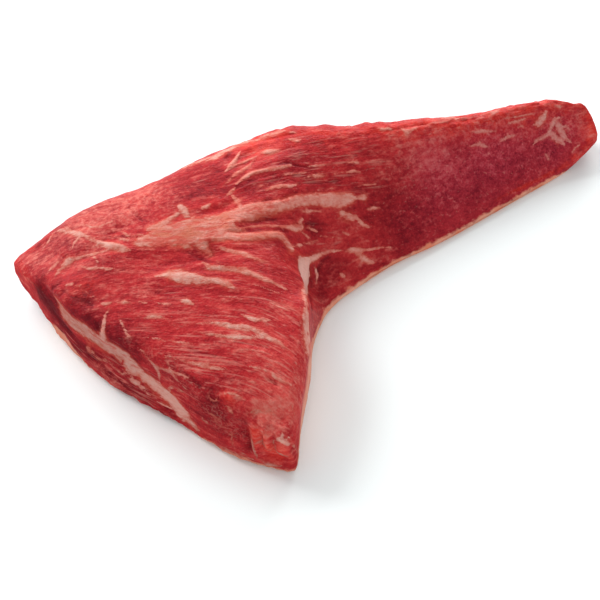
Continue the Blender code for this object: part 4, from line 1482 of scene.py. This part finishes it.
# %% A finish under construction
class Finish:
    """A material, with the few kinds of node that this piece needs."""

    def __init__(self, name):
        self.material = bpy.data.materials.new(name)
        self.material.use_nodes = True
        self.tree = self.material.node_tree
        self.shader = self.tree.nodes["Principled BSDF"]

    def node(self, kind, settings, values):
        """Any node: its settings first, then a number, a colour or a link for each named socket."""
        node = self.tree.nodes.new(kind)
        for name, value in settings.items():
            setattr(node, name, value)
        for name, value in values.items():
            self.plug(node.inputs[name], value)
        return node

    def plug(self, socket, value):
        """Links a socket to another one, or gives it a constant."""
        value = value.socket if isinstance(value, Number) else value
        if isinstance(value, bpy.types.NodeSocket):
            self.tree.links.new(value, socket)
        else:
            socket.default_value = value

    def stored(self, name):
        """A number kept on the mesh."""
        return Number(self, self.node("ShaderNodeAttribute", {"attribute_name": name}, {}).outputs["Fac"])

    def stored_place(self, name):
        """Three numbers kept on the mesh."""
        return self.node("ShaderNodeAttribute", {"attribute_name": name}, {}).outputs["Vector"]

    def tinted(self, colour, factors):
        """A colour with each of its three parts multiplied by a factor."""
        node = self.node("ShaderNodeVectorMath", {"operation": "MULTIPLY"}, {0: colour, 1: factors})
        return node.outputs[0]

    def noise(self, place, sizes, shift=0.0, detail=2.0, roughness=0.5):
        """Noise between about -1 and 1, with lumps of these sizes, read this far along."""
        units = self.node("ShaderNodeVectorMath", {"operation": "MULTIPLY_ADD"}, {
            0: place, 1: tuple(1 / size for size in sizes), 2: (shift, shift, shift)})
        node = self.node("ShaderNodeTexNoise", {"noise_dimensions": "3D"}, {
            "Vector": units.outputs[0], "Scale": 1.0, "Detail": detail, "Roughness": roughness})
        return Number(self, node.outputs["Fac"]) * 4.0 - 2.0

    def mixed(self, share, first, second):
        """A colour between two colours."""
        node = self.node("ShaderNodeMix", {"data_type": "RGBA", "blend_type": "MIX"}, {
            0: share, 6: first, 7: second})
        return node.outputs[2]

    def ramp(self, share, stops):
        """A colour that goes through stops of (place, red, green, blue), the first at 0 and the last at 1."""
        node = self.node("ShaderNodeValToRGB", {}, {0: share})
        elements = node.color_ramp.elements
        for element, (place, *colour) in zip(elements, (stops[0], stops[-1])):
            element.position = place
            element.color = (*colour, 1.0)
        for place, *colour in stops[1:-1]:
            elements.new(place).color = (*colour, 1.0)
        return node.outputs[0]


def paint(red, green, blue):
    """A colour in linear light, as a socket takes it."""
    return (red, green, blue, 1.0)


# %% [markdown]
# ## Raw beef: the noises
#
# Everything that is too small for the grid comes from noises. Loose ones are read in millimetres of the
# piece. Fibrous ones are read in the grain, so they are long along the fibres; on the cut face they run along
# the foot, and where the skin is mottled a loose one takes over. Each noise has a shift of its own, so that
# no two are alike. In the cells below the amount of each was set against the picture.

# %% Noises of the meat
raw = Finish("raw_beef_finish")
grain_at = raw.stored_place("grain")
wall_at = raw.stored_place("wall_grain")
place_at = raw.node("ShaderNodeTexCoord", {}, {}).outputs["Object"]
in_mm = raw.node("ShaderNodeVectorMath", {"operation": "SCALE"}, {0: place_at, "Scale": 1 / MM})
place_mm = in_mm.outputs[0]

mottle = raw.stored("mottle")
on_wall = raw.stored("wall")


def loose(size, shift, detail=2.0, roughness=0.5):
    """Noise with round lumps of this many millimetres."""
    return raw.noise(place_mm, (size, size, size), shift, detail, roughness)


blotch = loose(9.0, 5.0)
clump = loose(4.4, 15.0)
curl = loose(2.4, 9.0, roughness=0.6)
speck = loose(1.1, 2.0, detail=1.0, roughness=0.7)


def fibrous(width, length, instead, shift, detail=2.0, roughness=0.6):
    """Noise long along the fibres, or along the foot on the cut face; where mottled, another one instead."""
    top = raw.noise(grain_at, (width, length, width), shift, detail, roughness)
    top = top * (1.0 - mottle) + instead * mottle
    side = raw.noise(wall_at, (width, length, 3 * width), shift, detail, roughness)
    return top * (1.0 - on_wall) + side * on_wall


bundle = fibrous(4.2, 20.0, clump, 7.0, roughness=0.5)
strand = fibrous(2.2, 6.5, curl, 3.0)
thread = fibrous(0.9, 2.4, speck, 11.0, detail=1.0)
streaks = fibrous(1.4, 8.0, curl, 31.0)
wisp = fibrous(1.3, 24.0, curl, 51.0, detail=1.0, roughness=0.5)
veil = fibrous(3.4, 12.0, clump * 0.6 + curl * 0.4, 41.0, detail=3.0)
print("nodes so far:", len(raw.tree.nodes))

# %% [markdown]
# ## Raw beef: the lean
#
# The lean runs from maroon to rose on one scale of tone. The stored tone, with its painted shade and light,
# is moved up and down by the noises, and down in creases and in the valleys between the bundles, which is
# painted shade. Where it is scarlet, a second scale takes over; along the rims that scarlet is partly painted
# light.

# %% The lean
LEAN = [
    (0.0, 0.110, 0.004, 0.008), (0.22, 0.210, 0.007, 0.012), (0.5, 0.400, 0.020, 0.024),
    (0.72, 0.550, 0.056, 0.050), (1.0, 0.72, 0.155, 0.128),
]
SCARLET_LEAN = [
    (0.0, 0.14, 0.004, 0.004), (0.35, 0.38, 0.011, 0.010), (0.65, 0.60, 0.034, 0.024),
    (1.0, 0.73, 0.11, 0.065),
]
valley_shade = (1.0 - raw.stored("fold").size() * 6.0).at_least(0.0)
dimple_shade = (1.0 - raw.stored("crimp").size() * 4.0).at_least(0.0)
crease_depth_and_shade = raw.stored("crease").step(-1.1, 1.0)
tone_at = raw.stored("tone") + bundle * 0.10 + strand * 0.08 + thread * 0.08 + speck * 0.07
tone_at = tone_at + (blotch * 0.07 + clump * 0.06) * (1.0 - mottle * 0.7)
tone_at = tone_at - crease_depth_and_shade * 0.20 - valley_shade * 0.05 - dimple_shade * 0.01 * (1.0 - mottle)
scarlet_at = raw.stored("scarlet") * (0.75 + clump * 0.5)
lean = raw.mixed(scarlet_at.step(0.1, 1.1) * 0.75, raw.ramp(tone_at, LEAN), raw.ramp(tone_at, SCARLET_LEAN))
print("nodes so far:", len(raw.tree.nodes))

# %% [markdown]
# ## Raw beef: the membrane
#
# A membrane is a thin film that lets the red through, rosy and a little greyer than the meat; over the
# shoulder the same film is also a painted sheen. It is patchy, and it shows less over dark meat. The lean of
# the tail is cooler than that of the wedge.

# %% The membrane and the cool tail
FILM_RED, FILM_PALE = paint(0.54, 0.105, 0.085), paint(0.62, 0.190, 0.150)
TAIL_FILM = paint(0.50, 0.095, 0.120)
COOL = (0.98, 1.25, 1.75)
TAIL_FROM, TAIL_FULL = 15.0, 60.0
film_and_sheen = raw.stored("membrane_and_sheen") * 0.9 + veil * 0.65 + strand * 0.30 + curl * 0.15 + thread * 0.14 + 0.04
film_and_sheen = film_and_sheen.step(0.0, 1.2) * tone_at.step(0.1, 0.55)
film_colour = raw.mixed((curl + strand * 0.5).step(-0.5, 0.8), FILM_RED, FILM_PALE)
x_mm = Number(raw, raw.node("ShaderNodeSeparateXYZ", {}, {0: place_mm}).outputs[0])
in_tail = x_mm.step(TAIL_FROM, TAIL_FULL) * mottle
lean = raw.mixed((in_tail * (1.0 - scarlet_at)).at_least(0.0), lean, raw.tinted(lean, COOL))
lean = raw.mixed(film_and_sheen * 0.80 * (1.0 - mottle * 0.45), lean, raw.mixed(in_tail, film_colour, TAIL_FILM))
print("nodes so far:", len(raw.tree.nodes))

# %% [markdown]
# ## Raw beef: the marbling
#
# Each kind of marbling is a noise cut high, so that only its peaks show:
# flecks, streaks, long wisps, and a web where a loose noise crosses zero.

# %% The marbling
MARBLING = paint(0.61, 0.215, 0.172)
lines_at = raw.stored("lines")
dots = raw.noise(grain_at, (0.9, 1.8, 0.9), 21.0, detail=1.0, roughness=0.6)
flecks_at = (dots + raw.stored("flecks") * 0.4).step(0.75, 1.45)
streaks_at = (streaks + lines_at * 0.45).step(0.70, 1.45)
wisp_at = (wisp + lines_at * 0.55).step(0.75, 1.50)
web_at = (1.0 - loose(2.6, 17.0, detail=1.0).size() * 3.5).at_least(0.0)
web_at = web_at * (clump + 0.6).step(0.0, 0.8) * raw.stored("web")
marbling = (flecks_at * 0.45).at_least(streaks_at * 0.65).at_least(wisp_at * 0.75).at_least(web_at * 0.65)
lean = raw.mixed(marbling * 0.62, lean, MARBLING)
print("nodes so far:", len(raw.tree.nodes))

# %% [markdown]
# ## Raw beef: where the fat is
#
# Fat is the stored reach plus a ragged noise, cut at zero. In some stretches
# the cut is wide instead of narrow, so the edge fades into the lean as thin
# fat does. The lean beside a broad streak is a little paler.

# %% The edge of the fat
BLUSH = paint(0.58, 0.095, 0.055)
width_at = raw.stored("fat_width")
pale_at = raw.stored("fat_tone")
ragged = (strand * 0.48 + bundle * 0.4 + curl * 0.22) * (0.40 + width_at * 0.25) * (1.0 - on_wall * 0.3)
ragged = ragged + thread * 0.22
fat_at = raw.stored("fat") + ragged
crisp_share, soft_share = fat_at.step(-0.14, 0.20), fat_at.step(-0.9, 1.0)
faint = (clump * 0.9 + bundle * 0.6 + in_tail * 0.5 + 0.40).step(-0.1, 1.0)
fat_share = crisp_share + (soft_share - crisp_share) * faint * 0.8
blush = fat_at.step(-2.4, 0.4) * width_at.step(0.6, 2.5)
lean = raw.mixed(blush * 0.32, lean, BLUSH)
print("nodes so far:", len(raw.tree.nodes))

# %% [markdown]
# ## Raw beef: the colour of the fat
#
# Thin fat is salmon, because the red shows through it, and thick fat is
# cream. Broad fat is orange in places and bloody in others, the fat of the
# tail and of the wedge is greyer than that of the crown, the seam in the
# cut face lies in shade, and fine red threads of lean run through it all.

# %% The fat
FAT_DEPTH = [
    (0.0, 0.48, 0.078, 0.055), (0.3, 0.565, 0.150, 0.112), (0.65, 0.62, 0.225, 0.180),
    (1.0, 0.66, 0.325, 0.268),
]
FAT_ORANGE, FAT_CREAM = paint(0.55, 0.120, 0.070), paint(0.78, 0.43, 0.37)
TAIL_FAT, BLOOD, RED_THREAD = paint(0.50, 0.140, 0.145), paint(0.46, 0.050, 0.038), paint(0.50, 0.085, 0.062)
GREYED, SEAM_SHADE = (0.86, 0.99, 1.0), (0.72, 0.80, 0.82)
WEDGE_FULL, WEDGE_TO = -78.0, -40.0

depth = fat_at.at_most(1.3) * 0.40 + strand * 0.32 + curl * 0.18 + thread * 0.16 + speck * 0.14
fat_colour = raw.ramp((depth + pale_at * 0.7 + 0.30).step(-0.2, 1.5), FAT_DEPTH)
orange = (blotch * 0.8 + bundle * 0.6 - pale_at * 0.8 - 0.05).step(0.1, 1.0) * width_at.step(1.0, 4.0)
fat_colour = raw.mixed(orange * 0.70, fat_colour, FAT_ORANGE)
fat_colour = raw.mixed((pale_at + strand * 0.15).step(0.7, 1.3), fat_colour, FAT_CREAM)
fat_colour = raw.mixed(in_tail * 0.55, fat_colour, TAIL_FAT)
in_wedge = 1.0 - x_mm.step(WEDGE_FULL, WEDGE_TO)
fat_colour = raw.mixed(in_wedge * (1.0 - on_wall), fat_colour, raw.tinted(fat_colour, GREYED))
in_shade = on_wall * (0.5 - pale_at).step(-0.3, 0.6)
fat_colour = raw.mixed(in_shade, fat_colour, raw.tinted(fat_colour, SEAM_SHADE))
bloody = (0.0 - bundle - strand * 0.9 - pale_at * 0.8 - 0.25).step(0.0, 0.8) * width_at.step(0.5, 2.5)
fat_colour = raw.mixed(bloody * 0.60, fat_colour, BLOOD)
red_threads = (streaks * 0.8 + thread * 0.40 - fat_at.at_most(1.6) * 0.35 - pale_at * 0.4).step(0.05, 0.9)
fat_colour = raw.mixed(red_threads * 0.65, fat_colour, RED_THREAD)
print("nodes so far:", len(raw.tree.nodes))

# %% [markdown]
# ## Raw beef: the fat cap
#
# The cap is creamier than the fat between the bundles, orange in blotches,
# darker on the cut face, and where it climbs the wall by the notch it is
# thin and smeared with red.

# %% The cap
CAP_CREAM, CAP_ORANGE = paint(0.72, 0.33, 0.23), paint(0.68, 0.21, 0.12)
CAP_IN_SHADE, CAP_THIN = paint(0.42, 0.120, 0.085), paint(0.56, 0.090, 0.066)
CAP_SMEAR = paint(0.50, 0.075, 0.060)
cap, cap_tall = raw.stored("cap"), raw.stored("cap_tall")
cap_share = (cap + ragged * 1.4 + blotch * 0.6 + clump * 0.8).step(-0.9, 0.9)
cap_colour = raw.mixed((blotch + strand * 0.5).step(-0.6, 0.9), CAP_CREAM, CAP_ORANGE)
cap_colour = raw.mixed(on_wall * 0.45, cap_colour, CAP_IN_SHADE)
thin = (1.0 - (cap + blotch * 2.5 + bundle * 1.5 + strand * 1.2).step(1.0, 13.0)) * cap_tall
cap_colour = raw.mixed(thin * 0.85, cap_colour, CAP_THIN)
smear = (bundle * 0.8 + blotch * 0.7 + curl * 0.4 - 0.35).step(0.0, 0.9)
cap_colour = raw.mixed(smear * cap_tall * 0.6, cap_colour, CAP_SMEAR)
print("nodes so far:", len(raw.tree.nodes))

# %% [markdown]
# ## Raw beef: shine and small relief
#
# A moist skin gives small soft highlights, and the dry cut face fewer. A
# little light goes into the meat before it comes out, which the subsurface
# weight gives. Relief finer than the grid is a bump: fibres, and fat that
# stands a hair above the lean.

# %% Colour, shine and bump
BUMP_STRENGTH, BUMP_HEIGHT = 0.45, 0.0007
CONSTANTS = {
    "Subsurface Weight": 0.10,
    "Subsurface Radius": (1.0, 0.35, 0.25),
    "Subsurface Scale": 0.0025,
    "Specular IOR Level": 0.045,
}
meat_colour = raw.mixed(fat_share, lean, fat_colour)
raw.plug(raw.shader.inputs["Base Color"], raw.mixed(cap_share, meat_colour, cap_colour))
pale = fat_share.at_least(cap_share)
raw.plug(raw.shader.inputs["Roughness"], 0.46 + on_wall * 0.35 - pale * 0.03 + strand * 0.05 + thread * 0.04)
height = strand * 0.30 + thread * 0.2 + curl * 0.30 + speck * 0.2
height = height + pale * 0.25 + marbling * 0.1 - crease_depth_and_shade * 0.4
raw.plug(raw.shader.inputs["Normal"], raw.node("ShaderNodeBump", {}, {
    "Height": height, "Strength": BUMP_STRENGTH, "Distance": BUMP_HEIGHT}).outputs[0])
for socket, value in CONSTANTS.items():
    raw.shader.inputs[socket].default_value = value
print("nodes in the finish:", len(raw.tree.nodes))

# %% The piece and its node
mesh.materials.append(raw.material)
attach(beef, "root")
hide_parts("tri_tip")
print("piece:", beef.name, "finish:", raw.material.name)

# %% [markdown]
# ## The table
#
# The picture is taken on white. The table is a wide pale sheet. It could be
# made to glow, but a plain white sheet that the light fills shows the soft
# dark edge under the meat, and that edge makes the piece lie on something.

# %% The table
TABLE_REACH = 8.0
TABLE_GAP = 0.0002
TABLE_WHITE = paint(0.905, 0.955, 0.955)
corners = [(x * TABLE_REACH, y * TABLE_REACH, 0) for x, y in ((-1, -1), (1, -1), (1, 1), (-1, 1))]
table_mesh = bpy.data.meshes.new("table")
table_mesh.from_pydata(corners, [], [(0, 1, 2, 3)])
table = bpy.data.objects.new("table", table_mesh)
bpy.context.scene.collection.objects.link(table)
table.location.z = -TABLE_GAP
white = Finish("white_table")
white.shader.inputs["Base Color"].default_value = TABLE_WHITE
white.shader.inputs["Roughness"].default_value = 0.9
white.shader.inputs["Specular IOR Level"].default_value = 0.1
table_mesh.materials.append(white.material)
print("table, m:", 2 * TABLE_REACH)

# %% [markdown]
# ## The light
#
# Three large soft lights stand round the table: the strongest to the left
# and a little behind, one behind that brightens the upper edge, and a weak
# one in front that opens the shade on the cut face. A white surrounding
# fills the rest. One light would leave that face too dark.

# %% The light
LIGHT_DISTANCE = 3.0
SURROUNDING = 0.53
LIGHTS = {
    "left": ((-0.663, 0.557, 0.5), 2.0, 106.0),
    "behind": ((0.163, 0.925, 0.342), 1.8, 66.0),
    "front": ((0.296, -0.814, 0.5), 3.0, 26.0),
}


def soft_light(name, toward, size, power):
    """A square light that looks at the meat from a direction given as right, away and up in the picture."""
    away = np.array([np.sin(TURN), np.cos(TURN), 0.0])
    way = RIGHT * toward[0] + away * toward[1] + np.array([0, 0, toward[2]])
    way = way / np.linalg.norm(way)
    data = bpy.data.lights.new(name, "AREA")
    data.shape = "SQUARE"
    data.size = size
    data.energy = power
    light = bpy.data.objects.new(name, data)
    bpy.context.scene.collection.objects.link(light)
    light.location = Vector(AIM + way * LIGHT_DISTANCE)
    light.rotation_euler = Vector(way).to_track_quat("Z", "Y").to_euler()


for name, (toward, size, power) in LIGHTS.items():
    soft_light(name, toward, size, power)
world = bpy.data.worlds.new("studio")
bpy.context.scene.world = world
world.use_nodes = True
background = world.node_tree.nodes["Background"]
background.inputs["Color"].default_value = paint(1.0, 1.0, 1.0)
background.inputs["Strength"].default_value = SURROUNDING
bpy.context.scene.view_settings.view_transform = "Standard"
print("lights:", ", ".join(LIGHTS))
